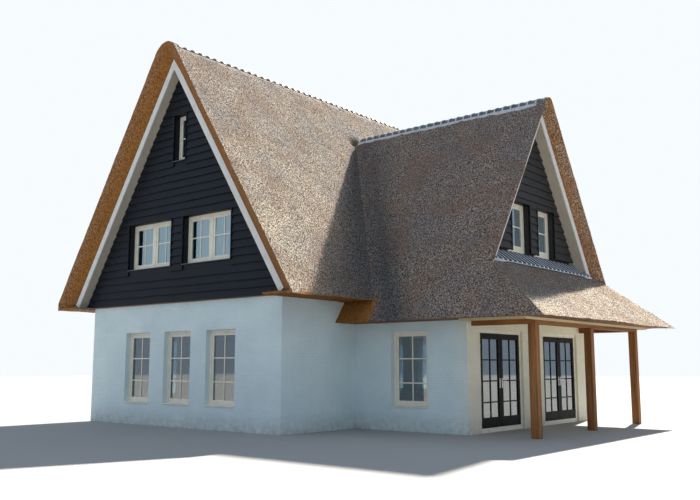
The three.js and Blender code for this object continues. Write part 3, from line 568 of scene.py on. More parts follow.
def gridded(node, steps):
    """A node's mesh with its faces divided by planes across each axis."""
    solid = bmesh.new()
    solid.from_mesh(node.data)
    bmesh.ops.remove_doubles(solid, verts=solid.verts, dist=WELD)
    bmesh.ops.dissolve_limit(solid, angle_limit=FLAT, verts=solid.verts, edges=solid.edges)
    for axis in (1, 2, 0):
        normal = Vector([float(axis == i) for i in range(3)])
        step = steps[axis]
        places = [vertex.co[axis] for vertex in solid.verts]
        for i in range(math.floor(min(places) / step) + 1, math.ceil(max(places) / step)):
            bmesh.ops.bisect_plane(solid, geom=solid.verts[:] + solid.edges[:] + solid.faces[:], dist=WELD,
                                   plane_co=normal * (i * step), plane_no=normal)
    mesh = bpy.data.meshes.new(node.name + "_coat")
    solid.to_mesh(mesh)
    solid.free()
    return mesh


def values(items, name, width, kind=np.float32):
    """One attribute of all items of a mesh, with one row for each where it is wide."""
    found = np.empty(len(items) * width, kind)
    items.foreach_get(name, found)
    return found.reshape(-1, width) if width > 1 else found


def inside_box(points):
    """Points held just inside the box of the solids."""
    return np.clip(points, np.array(cad_low) + EDGE_MARGIN, np.array(cad_high) - EDGE_MARGIN)


def fade(value, none, full):
    """Share that runs from 0 where the value is at one bound to 1 at the other."""
    return np.clip((value - none) / (full - none), 0, 1)


def hollow_share(points):
    return np.exp(-np.sum(((points - HOLLOW) / HOLLOW_SIZE) ** 2, axis=1))


def zone_colours(points, facing):
    """Red: cut or sheltered reed. Green: bleached and sunlit reed, part sun bleaching and part painted
    sunlight. Blue: painted shade in the valleys, in the hollow and in the wing gable's shadow on the skirt.
    """
    x, y, z = points.T
    nx, ny, nz = facing.T
    aside = np.abs(y)
    main_depth = (MAIN_APEX - MAIN_SLOPE * np.abs(x - MAIN_RIDGE_X) - z) / math.hypot(1, MAIN_SLOPE)
    main_verge = (aside > MAIN_BOARD_Y - 0.06) * fade(np.abs(ny), *VERGE_FACING)
    main_verge = main_verge * (0.8 + 0.2 * fade(main_depth, 0.05, 0.25))
    wing_depth = (WING_APEX - WING_SLOPE * aside - z) / math.hypot(1, WING_SLOPE)
    above_skirt = z > skirt_z(x) + OVER_SKIRT
    wing_verge = (x > WING_BOARD_X - 0.05) * above_skirt * fade(nx, *VERGE_FACING) * (z < WING_APEX)
    wing_verge = wing_verge * (0.82 + 0.16 * fade(wing_depth, 0.05, 0.2))
    under = UNDER_CUT * fade(-nz, 0.55, 0.8)
    sheltered = (x > VALLEY_END_X - 1.0) * (x < VALLEY_END_X) * (z < MAIN_EAVE_Z + 0.02)
    sheltered = sheltered * (aside > WING_HALF_WIDTH - 0.1)
    cut = np.maximum.reduce([main_verge, wing_verge, under, sheltered * 1.0])
    # Share of the lighter copy: high on faces turned to the sun, lower towards the ridge; part sun bleaching,
    # part painted sunlight
    bleach_and_sunlight = np.maximum(fade(nx, 0.1, 0.45), BACK_BLEACH_AND_SUN * fade(ny, 0.1, 0.5))
    bleach_and_sunlight = np.maximum(bleach_and_sunlight, LEFT_BLEACH_AND_SUN * fade(-nx, 0.2, 0.6))
    bleach_and_sunlight = bleach_and_sunlight * (RIDGE_BLEACH_AND_SUN + (1 - RIDGE_BLEACH_AND_SUN) * fade(z, 8.0, 4.5))
    # Painted shadow of the wing roof on the main slope: between the shadow's edge and the valley the sunlit
    # share gives way to painted shade
    valley = fade(z + WING_SLOPE * aside - WING_APEX, 0.0, 0.58 * aside + 0.01)
    in_valley = (nx > 0.3) * (x > VALLEY_START_X) * (x < VALLEY_END_X) * (z > MAIN_EAVE_Z - 0.1)
    bleach_and_sunlight = np.where(in_valley, bleach_and_sunlight * valley ** 3, bleach_and_sunlight)
    # Painted shade along the valley crease, on the wing's slopes
    beside = x - (MAIN_RIDGE_X + (MAIN_APEX - z) / MAIN_SLOPE)
    painted_shade = np.exp(-((beside - 0.45) / 0.5) ** 2) * fade(np.abs(ny), 0.3, 0.6)
    painted_shade = painted_shade * (aside < WING_HALF_WIDTH + 1.1) * (0.55 + 0.45 * fade(z, 6.5, 4.0))
    painted_shade = np.where(in_valley, np.maximum(painted_shade, VALLEY_SHADOW * (1 - valley ** 3)), painted_shade)
    # Painted shadow of the wing gable on the skirt below the apron: sunlit share dimmed and painted shade
    # added, reaching further down at the front
    shadow_slant = APRON_SHADOW_SLANT * fade(y, WING_HALF_WIDTH, -WING_HALF_WIDTH)
    apron_shadow_share = fade(x - (APRON_END_X + 0.15 + shadow_slant), 0.12, -0.12)
    apron_shadow_share = apron_shadow_share * (nx > 0.3) * (x > WING_END_X) * ~above_skirt
    bleach_and_sunlight = bleach_and_sunlight * (1 - APRON_SHADOW_DIM * apron_shadow_share)
    # The hollow where the wing ridge starts is painted dark brown as shade, half cut-reed brown
    hollow = hollow_share(points)
    painted_shade = np.maximum.reduce([painted_shade, APRON_SHADOW * apron_shadow_share, hollow])
    cut = np.maximum(cut, HOLLOW_SHADE_CUT * hollow)
    return np.column_stack([cut, bleach_and_sunlight, painted_shade, np.ones(len(points))])


def paint_zones(mesh, colours, domain):
    layer = mesh.attributes.new("zones", "FLOAT_COLOR", domain)
    layer.data.foreach_set("color", np.asarray(colours, np.float32).ravel())


def seated(points, aside, inside, ridge):
    """Points kept just under a ridge's mortar skirt."""
    spread, height = zip(*ridge["skirt"])
    limit = np.where(inside & (aside < spread[-1]), np.interp(aside, spread, height) - SEAT, np.inf)
    return np.column_stack([points[:, 0], points[:, 1], np.minimum(points[:, 2], limit)])


def settled(points):
    """The coat's points moved by their place alone, so that its pieces stay closed along their seams."""
    x, y, z = points.T
    main_gap = np.abs(MAIN_APEX - MAIN_SLOPE * np.abs(x - MAIN_RIDGE_X) - z)
    wing_gap = np.where(x > WING_START_X, np.abs(WING_APEX - WING_SLOPE * np.abs(y) - z), np.inf)
    skirt_gap = np.where(x > WING_END_X, np.abs(skirt_z(x) - z), np.inf)
    outer = fade(np.minimum.reduce([main_gap, wing_gap, skirt_gap]), 0.35, 0.12)
    outer = np.maximum(outer, z > RIDGE_TOP)
    waves = np.array([[noise.noise(Vector(p) * wave) for wave in (*WAVES, VERGE_WAVE)] for p in points])
    up = outer * (waves[:, :3] @ WAVE_HEIGHTS) - HOLLOW_DEPTH * hollow_share(points)
    back = VERGE_BACK * (0.5 + 0.5 * waves[:, 3])
    on_main_verge = np.abs(y) > MAIN_BOARD_Y + VERGE_COVER
    on_wing_verge = (x > WING_BOARD_X + VERGE_COVER) & (z > skirt_z(x) + OVER_SKIRT)
    points = points + np.column_stack([-back * on_wing_verge, -back * np.sign(y) * on_main_verge, up])
    x, y, z = points.T
    on_main = (z > MAIN_SEAT_Z) & (np.abs(y) < MAIN_RIDGE["cap"]["spans"][1][0])
    on_wing = (z > WING_SEAT_Z) & (x > WING_SEAT_X) & (x < WING_RIDGE["span"][1])
    points = seated(points, np.abs(x - MAIN_RIDGE_X), on_main, MAIN_RIDGE)
    return inside_box(seated(points, np.abs(y), on_wing, WING_RIDGE))


def build_thatch():
    """One piece for each part of the coat. Returns the corners and facing of all its triangles."""
    corners = []
    facing = []
    for name in THATCH_NODES:
        mesh = gridded(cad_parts[name], THATCH_GRID)
        points = settled(values(mesh.vertices, "co", 3, float))
        mesh.vertices.foreach_set("co", points.ravel())
        mesh.update()
        places = points[values(mesh.loops, "vertex_index", 1, np.int32)]
        sizes = values(mesh.polygons, "loop_total", 1, np.int32)
        normals = np.repeat(values(mesh.polygons, "normal", 3), sizes, axis=0)
        paint_zones(mesh, zone_colours(places, normals), "CORNER")
        mesh.calc_loop_triangles()
        corners.append(points[values(mesh.loop_triangles, "vertices", 3, np.int32)])
        facing.append(values(mesh.loop_triangles, "normal", 3))
        mesh.shade_smooth()
        mesh.set_sharp_from_angle(angle=COAT_SHARP)
        add_object(f"{name}_coat", mesh, THATCH, replaces=(name,))
    return np.concatenate(corners), np.concatenate(facing)


# Loose stems: width, share of it at the tip, how deep they start in the coat and how far they stray
REED_WIDTH = 0.008
REED_TIP = 0.6
REED_SINK = 0.012
REED_STRAY = 0.16

# Slope of a face under which its stems lie any way
LEVEL = 0.1


def reed_mesh(name, starts, ways, lengths, colours):
    """Three-sided stems, one piece."""
    ways = ways / np.linalg.norm(ways, axis=1, keepdims=True)
    helper = np.where(np.abs(ways[:, 2:3]) < 0.9, [[0.0, 0.0, 1.0]], [[1.0, 0.0, 0.0]])
    side = np.cross(ways, helper)
    side /= np.linalg.norm(side, axis=1, keepdims=True)
    other = np.cross(ways, side)
    ends = starts + ways * lengths[:, None]
    rings = []
    for base, size in ((starts, REED_WIDTH), (ends, REED_WIDTH * REED_TIP)):
        for k in range(3):
            angle = 2 * math.pi * k / 3
            rings.append(base + size / 2 * (side * math.cos(angle) + other * math.sin(angle)))
    points = inside_box(np.stack(rings, axis=1).reshape(-1, 3))
    piece = add_solids(name, points, 6, ((0, 1, 4, 3), (1, 2, 5, 4), (2, 0, 3, 5)), REED)
    paint_zones(piece.data, np.repeat(colours, 6, axis=0), "POINT")


def scatter_reeds(coat, name, count, seed, cut_range, rise_range, length, lift):
    """Stems spread over the coat where its cut share and the rise of its facing lie in two ranges."""
    picker = np.random.default_rng(seed)
    corners, facing = coat
    a, b, c = corners.transpose(1, 0, 2)
    areas = np.linalg.norm(np.cross(b - a, c - a), axis=1)
    middle = corners.mean(axis=1)
    colours = zone_colours(middle, facing)
    cut = colours[:, 0]
    rise = facing[:, 2]
    indoors = ((np.abs(middle[:, 0] - AXIS_X) < MAIN_HALF_WIDTH) & (np.abs(middle[:, 1]) < MAIN_HALF_LENGTH)
               & (rise < 0))
    wanted = (~indoors & (cut >= cut_range[0]) & (cut <= cut_range[1])
              & (rise >= rise_range[0]) & (rise <= rise_range[1]))
    weights = areas * wanted
    picked = picker.choice(len(areas), count, p=weights / weights.sum())
    u, v = picker.random((2, count, 1))
    u, v = np.where(u + v > 1, 1 - u, u), np.where(u + v > 1, 1 - v, v)
    normal = facing[picked].astype(float)
    starts = a[picked] + u * (b - a)[picked] + v * (c - a)[picked] - normal * REED_SINK
    down = np.array([[0.0, 0.0, -1.0]]) + normal * normal[:, 2:3]
    size = np.linalg.norm(down, axis=1, keepdims=True)
    down = np.where(size > LEVEL, down / np.maximum(size, LEVEL), picker.normal(0, 1, (count, 3)))
    ways = down + normal * picker.uniform(*lift, (count, 1)) + picker.normal(0, REED_STRAY, (count, 3))
    reed_mesh(name, starts, ways, picker.uniform(*length, count), colours[picked])


# Ridges

# Collars and joints as (share of the tile's width, drop from its crown), and their spans from its start
COLLAR = ((1.0, 0.0), (0.98, 0.003))
COLLAR_SPAN = (0.022, 0.066)
RIDGE_JOINT = (0.985, 0.003)
JOINT_SPAN = (-0.022, 0.02)
END_JOINT = 0.03
TILE_GAP = 0.003
RIDGE_SHOULDER = 0.012

# Shares of the full width that single tiles have, and how far their crowns drop at most
TILE_WIDTHS = (0.97, 1.0)
CROWN_DROP = 0.005

# Mortar bed: pitch of its stations, how far its seat ends inside the ridge and its thickness at the ends
BED_STATION = 0.12
SEAT_END = 0.02
CAP_THICK = 0.04

# Ragged feet of the bed: shares of its half width, and how far its middle rises and falls
BED_WIDTHS = (0.93, 1.0)
BED_WAVE = 0.004

# Apron tile: half width as a share of the pitch, heights over the skirt, and its head under the main part
APRON_SHARE = 0.44
APRON_FOOT = 0.012
APRON_SHOULDER = 0.02
APRON_HEAD = 0.215
APRON_LOWER = 0.19
APRON_HEAD_GROW = 0.92
APRON_CROWN = 0.052
APRON_SWELL = 0.018
APRON_LIFT = 0.003

# Fillet between two apron tiles: half widths at its foot and top, and heights of its top
FILLET = (0.026, 0.016)
FILLET_TOPS = (0.03, 0.036)

# Heights of the mortar over the skirt: under the tiles, before their lower ends and under the outer rows
BED_SPAN = (0.001, 0.024)
END_SPAN = (0.002, 0.04)
END_WAVE = 0.006
OUTER_SPAN = (-0.02, 0.04)
END_MORTAR = 0.013

# Soffit feet: how far they stay behind the bargeboard, rise into the apron and their thickness
FOOT_BEHIND = 0.031
FOOT_RISE = 0.01
FOOT_THICK = 0.015


def arch(half_width, base, shoulder, top, steps):
    """A closed arch profile of (sideways, height) points."""
    points = [(half_width, base)]
    for i in range(steps + 1):
        angle = math.pi * i / steps
        points.append((half_width * math.cos(angle), shoulder + (top - shoulder) * math.sin(angle)))
    points.append((-half_width, base))
    return points


def fill_bed(bed, ridge):
    """Mortar skirt with ragged feet, seat under the tiles and curved mortar at the ends of the ridge."""
    start, end = ridge["bed"]
    stations = int((end - start) / BED_STATION)
    (inner_h, inner_z), (middle_h, middle_z), (outer_h, outer_z) = ridge["skirt"]
    rings = []
    for i in range(stations + 1):
        a = start + (end - start) * i / stations
        left, right = outer_h * rng.uniform(*BED_WIDTHS, 2)
        rise = rng.uniform(-BED_WAVE, BED_WAVE)
        rings.append([
            (a, -left, ridge["floor"]), (a, -left, outer_z), (a, -middle_h, middle_z + rise),
            (a, -inner_h, inner_z), (a, inner_h, inner_z), (a, middle_h, middle_z - rise),
            (a, right, outer_z), (a, right, ridge["floor"])])
    bed.loft(rings)
    start, end = ridge["span"]
    half, low, high = ridge["seat"]
    bed.box((start + SEAT_END, -half, low), (end - SEAT_END, half, high))
    cap = ridge["cap"]
    edge = math.asin(cap["reach"] / cap["radius"])
    angles = np.linspace(-edge, edge, 15)
    skin = [(radius * math.sin(t), cap["centre"] + radius * math.cos(t))
            for radius, order in ((cap["radius"], angles), (cap["radius"] - CAP_THICK, angles[::-1]))
            for t in order]
    for low, high in cap["spans"]:
        bed.extrude(skin, low, high)


def build_ridge(name, turn, origin, ridge, replaced, tile, mortar):
    """Half-round ridge tiles with collars and mortar joints, on a mortar bed that lies over the thatch."""
    half, foot, top = ridge["tile"]
    start, end = ridge["span"]
    tiles = Batch(turn, origin)
    joints = Batch(turn, origin)
    bed = Batch(turn, origin)
    count = round((end - start) / ridge["pitch"])
    step = (end - start) / count
    for i in range(count):
        a = start + i * step
        wide = half * rng.uniform(*TILE_WIDTHS)
        crown = top - rng.uniform(0.0, CROWN_DROP)
        body, joint, collar_start, collar_end = (
            arch(wide * grow, foot, foot + RIDGE_SHOULDER, crown - drop, 12)
            for grow, drop in (ridge["body"], RIDGE_JOINT, *COLLAR))
        tiles.extrude(body, a + TILE_GAP, a + step - TILE_GAP)
        tiles.extrude(collar_start, a + COLLAR_SPAN[0], a + COLLAR_SPAN[1], collar_end)
        if i:
            joints.extrude(joint, a + JOINT_SPAN[0], a + JOINT_SPAN[1])
    joints.extrude(joint, end - END_JOINT, end)
    fill_bed(bed, ridge)
    for batch, part, material, node in ((tiles, "tiles", tile, (replaced,)), (joints, "joints", mortar, ()),
                                        (bed, "bed", mortar, ())):
        batch.piece(f"{name}_{part}", material, "ridge_tile", replaces=node, smooth=True)


def block(half, foot, top, top_half=None):
    """A profile of (sideways, height) points with a level foot and top."""
    narrow = top_half or half
    return (-half, foot), (half, foot), (narrow, top), (-narrow, top)


def down_skirt(batch, middle, profile, first, last):
    """A solid down the skirt's slope, from its (sideways, height) profile."""
    batch.loft([[(x, middle + h, skirt_z(x) + z) for h, z in profile] for x in (first, last)])


def apron_tile(batch, middle, first, last, grow=1.0, lift=0.0):
    top = APRON_CROWN + APRON_SWELL * grow + lift
    profile = arch(APRON_PITCH * APRON_SHARE * grow, APRON_FOOT, APRON_SHOULDER, top, 10)
    down_skirt(batch, middle, profile, first, last)


def build_apron():
    """Half-round tiles down the foot of the wing gable, on mortar that closes their lower ends."""
    tiles = Batch()
    bed = Batch()
    start, end = APRON_START_X, APRON_END_X
    tile_end = end - END_MORTAR
    for i in range(APRON_TILES):
        middle = -APRON_HALF + (i + 0.5) * APRON_PITCH
        lift = rng.uniform(-APRON_LIFT, APRON_LIFT)
        apron_tile(tiles, middle, start, start + APRON_HEAD, APRON_HEAD_GROW, lift)
        apron_tile(tiles, middle, start + APRON_LOWER, tile_end, 1.0, lift)
    foot, top = FILLET
    for i in range(APRON_TILES + 1):
        middle = float(np.clip(-APRON_HALF + i * APRON_PITCH, -APRON_HALF + foot, APRON_HALF - foot))
        profile = block(foot, APRON_SHOULDER, rng.uniform(*FILLET_TOPS), top)
        down_skirt(tiles, middle, profile, start, tile_end - HAIR)
    down_skirt(bed, 0.0, block(APRON_HALF, *BED_SPAN), start, end)
    low, high = END_SPAN
    for i in range(2 * APRON_TILES):
        y, z = -APRON_HALF + i * APRON_PITCH / 2, skirt_z(end)
        bed.box((tile_end, y, z + low), (end, y + APRON_PITCH / 2, z + high + rng.uniform(0.0, END_WAVE)))
    ends = Batch()
    end_bed = Batch()
    for i in (*range(-APRON_NEAR_ROWS, 0), *range(APRON_TILES, APRON_TILES + APRON_FAR_ROWS)):
        middle = -APRON_HALF + (i + 0.5) * APRON_PITCH
        first = start if abs(middle) < APRON_OPEN_Y else WING_BOARD_X + TILE_GAP
        apron_tile(ends, middle, first, tile_end)
        down_skirt(end_bed, middle, block(APRON_PITCH / 2, *OUTER_SPAN), first, end)
    tiles.piece("apron_roof_tiles", APRON_TILE, "ridge_tile", replaces=("apron_tiles",), smooth=True)
    bed.piece("apron_mortar", MORTAR, "ridge_tile", replaces=("apron_tiles",))
    ends.piece("apron_end_tiles", APRON_TILE, "ridge_tile", smooth=True)
    end_bed.piece("apron_end_mortar", MORTAR, "ridge_tile")


def build_soffit_feet():
    """Closes the wing's soffits between their level feet and the sloping apron."""
    x0, x1 = WING_CLADDING_X + HAIR, WING_BOARD_X - FOOT_BEHIND
    outline = ((x0, SOFFIT_FOOT), (x1, SOFFIT_FOOT), (x1, skirt_z(x1) + FOOT_RISE),
               (x0, skirt_z(x0) + FOOT_RISE))
    for word, _, way in SIDES:
        foot = Batch()
        foot.loft([[(x, way * ((WING_INNER_APEX - SOFFIT_DROP - z) / WING_SLOPE + thick), z)
                    for x, z in outline] for thick in (0.0, FOOT_THICK)])
        foot.piece(f"soffit_foot_{word}", SOFFIT, "soffit")


# Brickwork

COURSE = 0.0625
BRICK_PITCH = 0.2225
JOINT = 0.0125
UPRIGHT_JOINT = 0.008
BRICK_PROUD = 0.006
BRICK_JITTER = 0.001
BRICK_CHAMFER = 0.004
SMALLEST_BRICK = 0.02


def without(rect, hole):
    """Parts of a rectangle (x0, x1, z0, z1) that lie outside a hole."""
    x0, x1, z0, z1 = rect
    a0, a1, b0, b1 = hole
    if x1 <= a0 or x0 >= a1 or z1 <= b0 or z0 >= b1:
        return [rect]
    left, right = max(x0, a0), min(x1, a1)
    return [(x0, left, z0, z1), (right, x1, z0, z1), (left, right, z0, min(z1, b0)),
            (left, right, max(z0, b1), z1)]


def brick_rects(start, end, top, holes):
    """Rectangles (x0, x1, z0, z1) of the bricks of a wall, in stretcher bond around its holes."""
    found = []
    for row in range(math.ceil(top / COURSE)):
        low = row * COURSE + JOINT / 2
        high = min((row + 1) * COURSE - JOINT / 2, top)
        place = start - (row % 2) * BRICK_PITCH / 2
        while place < end:
            near, far = place + UPRIGHT_JOINT / 2, place + BRICK_PITCH - UPRIGHT_JOINT / 2
            rects = [(max(near, start), min(far, end), low, high)]
            for hole in holes:
                rects = [part for rect in rects for part in without(rect, hole)]
            found.extend(r for r in rects if r[1] - r[0] > SMALLEST_BRICK and r[3] - r[2] > SMALLEST_BRICK)
            place += BRICK_PITCH
    return np.array(found)


def build_bricks(name, turn, origin, start, end, top, holes=(), material=BRICK):
    """Bricks proud of a wall face at local Y = 0, which itself is the mortar."""
    x0, x1, z0, z1 = brick_rects(start, end, top, holes).T
    count = len(x0)
    front = -BRICK_PROUD + rng.uniform(-BRICK_JITTER, BRICK_JITTER, count)
    back = np.full(count, HAIR)
    c = BRICK_CHAMFER
    corners = [
        (x0, back, z0), (x1, back, z0), (x1, back, z1), (x0, back, z1),
        (x0 + c, front, z0 + c), (x1 - c, front, z0 + c), (x1 - c, front, z1 - c), (x0 + c, front, z1 - c)]
    points = np.stack([np.stack(corner, axis=1) for corner in corners], axis=1).reshape(-1, 3)
    faces = ((4, 5, 6, 7), (0, 1, 5, 4), (1, 2, 6, 5), (2, 3, 7, 6), (3, 0, 4, 7))
    add_solids(name, turned(points, turn, origin), 8, faces, material)


# Weatherboarding

EXPOSURE = 0.19
LAP = 0.028
BUTT = 0.046
TIP = 0.008
STATION = 0.28
SMALLEST_BOARD = 0.02
SMALLEST_HALF = 0.03
BOARD_LEAN = 0.003
BOARD_WAVE = 0.01

# Waves of a board's foot per metre of its length, and their step from course to course
BOARD_WAVES = 1.7
COURSE_STEP = 3.1

# Upright joints: places of the first and distances to the next, the shortest last board and half the gap
FIRST_JOINT = (1.2, 4.0)
NEXT_JOINT = (2.4, 4.2)
LAST_BOARD = 0.6
HALF_GAP = 0.0015

# Boards on edge around the openings
CASING = 0.02
CASING_PROUD = 0.052


def board_runs(z0, z1, half_at, holes):
    """Spans of one course: (left low, left high, right low, right high, foot, head)."""
    low, high = half_at(z0), max(half_at(z1), 0.0)
    spans = [(-low, -high, low, high, z0, z1)]
    for a0, a1, b0, b1 in holes:
        if z1 - LAP <= b0 or z0 >= b1:
            continue
        split = []
        for left_low, left_high, right_low, right_high, foot, head in spans:
            if right_low <= a0 or left_low >= a1:
                split.append((left_low, left_high, right_low, right_high, foot, head))
                continue
            split.append((left_low, left_high, a0, a0, foot, head))
            split.append((a1, a1, right_low, right_high, foot, head))
            if b0 - z0 > SMALLEST_BOARD:
                split.append((a0, a1, a0, a1, foot, b0))
            if z1 - b1 > LAP:
                split.append((a0, a0, a1, a1, b1, head))
        spans = split
    return spans


def board_cuts(length, last):
    """Stations, of 0 to last, at which a course of this length is cut into boards."""
    cuts = {0, last}
    place = rng.uniform(*FIRST_JOINT)
    while place < length - LAST_BOARD:
        cuts.add(round(place / length * last))
        place += rng.uniform(*NEXT_JOINT)
    return sorted(cuts)


def build_boards(name, turn, origin, foot, half_at, top, holes, material):
    """Lapped boards in front of a face at local Y = 0, cut off along the roof slopes."""
    batch = Batch(turn, origin)
    for row in range(math.ceil((top - foot) / EXPOSURE)):
        z0 = foot + row * EXPOSURE
        z1 = min(z0 + EXPOSURE + LAP, top)
        if half_at(z0) < SMALLEST_HALF:
            continue
        for left_low, left_high, right_low, right_high, low, high in board_runs(z0, z1, half_at, holes):
            length = right_low - left_low
            if length < SMALLEST_BOARD:
                continue
            stations = max(1, math.ceil(length / STATION))
            cuts = board_cuts(length, stations)
            for first, last in zip(cuts, cuts[1:]):
                lean = rng.uniform(-BOARD_LEAN, BOARD_LEAN)
                rings = []
                for i in range(first, last + 1):
                    t = i / stations
                    gap = HALF_GAP if i in (first, last) and 0 < i < stations else 0.0
                    shift = gap if i == first else -gap
                    xl = left_low + length * t + shift
                    xh = left_high + (right_high - left_high) * t + shift
                    wave = BOARD_WAVE * noise.noise(Vector((xl * BOARD_WAVES, row * COURSE_STEP, 0.5)))
                    foot_z = low + wave if low == z0 else low
                    thick, thin = (BUTT + (TIP - BUTT) * (z - z0) / (EXPOSURE + LAP) for z in (foot_z, high))
                    rings.append([(xl, -(thick + lean), foot_z), (xl, 0.0, foot_z), (xh, 0.0, high),
                                  (xh, -thin, high)])
                batch.loft(rings)
    for a0, a1, b0, b1 in holes:
        for x0, x1, z0 in ((a0 - CASING, a0, b0), (a1, a1 + CASING, b0), (a0, a1, b1)):
            batch.box((x0, -CASING_PROUD, z0), (x1, 0.0, b1 + CASING))
    batch.piece(name, material, "weatherboard")


# Windows

PANE_Y = 0.034
PANE_THICK = 0.006
BAR = 0.028
JOINERY_BEVEL = 0.003

# Sills: how far they stand out of the wall, and profiles of (share of the way out, depth inwards, height)
SILLS = {
    "board": (0.03, ((0, 0.02, 0.0), (1, 0.0, 0.0), (1, 0.0, 0.02736), (0, 0.02, 0.038))),
    "sheet": (0.058, ((0, 0.0, 0.016), (1, 0.0, 0.002), (1, 0.0, -0.012), (1, 0.003, -0.012),
                      (1, 0.003, -0.002), (0, 0.0, 0.012))),
}

# Frame, mullion and sashes with their depths behind the frame's face
FRAME_DEPTH = 0.068
MULLION = 0.084
SASH_GAP = 0.002
SASH_SPAN = (0.012, 0.058)
SASH_BARS = ((0.018, 0.05), (0.0175, 0.0505))
REBATE = 0.005
BRICK_RECESS = 0.12
UPPER_RECESS = 0.14


@dataclass
class Window:
    """A kind of window: its opening, bars over the sill line, depth in the wall, sill and members."""

    width: float
    sill: float
    head: float
    bars: tuple
    recess: float = BRICK_RECESS
    ledge: str = "board"
    sashes: int = 1
    columns: int = 2
    jamb: float = 0.062
    stile: float = 0.06
    foot: float = 0.075


GROUND_WINDOWS = Window(1.003, 0.54, 2.3, (0.56, 1.11))
UPPER_WINDOWS = Window(1.745, 3.92, 5.11, (0.64,), UPPER_RECESS, "sheet", sashes=2, stile=0.062)
ATTIC_WINDOW = Window(0.465, 6.56, 7.76, (0.61,), UPPER_RECESS, "sheet", columns=1, jamb=0.055, stile=0.05)
WING_WINDOW = Window(1.017, 0.54, 2.26, (0.54, 1.09))
GABLE_WINDOW = Window(0.93, 4.18, 5.4, (0.65,), UPPER_RECESS, "", columns=1, foot=0.11)
GROUND_CENTRES = (-1.575, 0.0, 1.575)
UPPER_CENTRES = (-1.1, 1.1)
LEFT_CENTRES = (-3.3, 0.0, 3.3)
GABLE_CENTRES = (-0.675, 0.675)
WING_WINDOW_X = 2.905


def frame_ring(batch, x0, x1, z0, z1, sides, foot, head, y0, y1):
    """Four members around an opening: two stiles, a bottom rail and a top rail."""
    y2, y3 = y0 + HAIR, y1 - HAIR
    batch.box((x0, y0, z0), (x0 + sides, y1, z1))
    batch.box((x1 - sides, y0, z0), (x1, y1, z1))
    batch.box((x0 + sides, y2, z0), (x1 - sides, y3, z0 + foot))
    batch.box((x0 + sides, y2, z1 - head), (x1 - sides, y3, z1))


def glaze(wood, panes, opening, columns, bars, depths, pane_y, rebate):
    """Upright and level bars at two depths in an opening (x0, x1, z0, z1), and the pane behind them."""
    x0, x1, z0, z1 = opening
    (front, back), (level_front, level_back) = depths
    for i in range(1, columns):
        x = x0 + (x1 - x0) * i / columns
        wood.box((x - BAR / 2, front, z0), (x + BAR / 2, back, z1))
    for z in bars:
        wood.box((x0, level_front, z - BAR / 2), (x1, level_back, z + BAR / 2))
    panes.box((x0 - rebate, pane_y - PANE_THICK / 2, z0 - rebate),
              (x1 + rebate, pane_y + PANE_THICK / 2, z1 + rebate))


def build_window(name, kind, turn, place, glass=GLASS, replaced=()):
    """Frame, sashes, bars, panes and sill of one window, facing -Y before it is turned."""
    origin = (*place, kind.sill)
    wood = Batch(turn, origin)
    panes = Batch(turn, origin)
    half = kind.width / 2 - HAIR
    low, high = HAIR, kind.head - kind.sill - HAIR
    jamb, stile, foot = kind.jamb, kind.stile, kind.foot
    frame_ring(wood, -half, half, low, high, jamb, jamb, jamb, 0.0, FRAME_DEPTH)
    inner = half - jamb
    z0, z1 = low + jamb, high - jamb
    spans = [(-inner, inner)]
    if kind.sashes == 2:
        wood.box((-MULLION / 2, HAIR, z0), (MULLION / 2, FRAME_DEPTH - 2 * HAIR, z1))
        spans = [(-inner, -MULLION / 2), (MULLION / 2, inner)]
    for x0, x1 in spans:
        x0, x1 = x0 + SASH_GAP, x1 - SASH_GAP
        frame_ring(wood, x0, x1, z0 + SASH_GAP, z1 - SASH_GAP, stile, foot, stile, *SASH_SPAN)
        opening = (x0 + stile, x1 - stile, z0 + foot, z1 - stile)
        glaze(wood, panes, opening, kind.columns, kind.bars, SASH_BARS, PANE_Y, REBATE)
    if kind.ledge:
        proud, profile = SILLS[kind.ledge]
        edge = -kind.recess - proud
        ledge = wood if kind.ledge == "board" else Batch(turn, origin)
        ledge.extrude([(out * edge + y, low + z) for out, y, z in profile], -half, half)
        if kind.ledge == "sheet":
            ledge.piece(f"{name}_sill", ZINC, "window_joinery")
    wood.piece(f"{name}_joinery", JOINERY, "window_joinery", replaces=replaced, bevel=JOINERY_BEVEL)
    panes.piece(f"{name}_panes", glass, "glass", replaces=replaced)


def hole(kind, centre):
    return (centre - kind.width / 2, centre + kind.width / 2, kind.sill, kind.head)


def build_windows():
    brick_y = MAIN_HALF_LENGTH - BRICK_RECESS
    board_y = MAIN_CLADDING_Y - UPPER_RECESS
    wing_y = WING_HALF_WIDTH - BRICK_RECESS
    for word, turn, side in SIDES:
        front = word == "front"
        for i, centre in enumerate(GROUND_CENTRES, 1):
            build_window(f"{word}_ground_{i}", GROUND_WINDOWS, turn, (AXIS_X + centre, side * brick_y),
                         replaced=(f"window_front_ground_{i}",) * front)
        for i, centre in enumerate(UPPER_CENTRES, 1):
            build_window(f"{word}_upper_{i}", UPPER_WINDOWS, turn, (AXIS_X + centre, side * board_y),
                         CLEAR_GLASS if front else GLASS, (f"window_front_upper_{i}",) * front)
        build_window(f"{word}_attic", ATTIC_WINDOW, turn, (AXIS_X, side * board_y),
                     replaced=(f"window_{word}_attic",))
        build_window(f"{word}_wing", WING_WINDOW, turn, (WING_WINDOW_X, side * wing_y),
                     replaced=(f"window_wing_{word}",))
    # The gable windows take the glass with a painted sky reflection
    for i, centre in enumerate(GABLE_CENTRES, 1):
        build_window(f"wing_gable_{i}", GABLE_WINDOW, FACE_RIGHT, (WING_CLADDING_X - UPPER_RECESS, centre),
                     SKY_REFLECTION_GLASS, (f"window_wing_gable_{i}",))
    for i, centre in enumerate(LEFT_CENTRES, 1):
        build_window(f"left_{i}", GROUND_WINDOWS, FACE_LEFT, (MAIN_LEFT_X + BRICK_RECESS, centre))


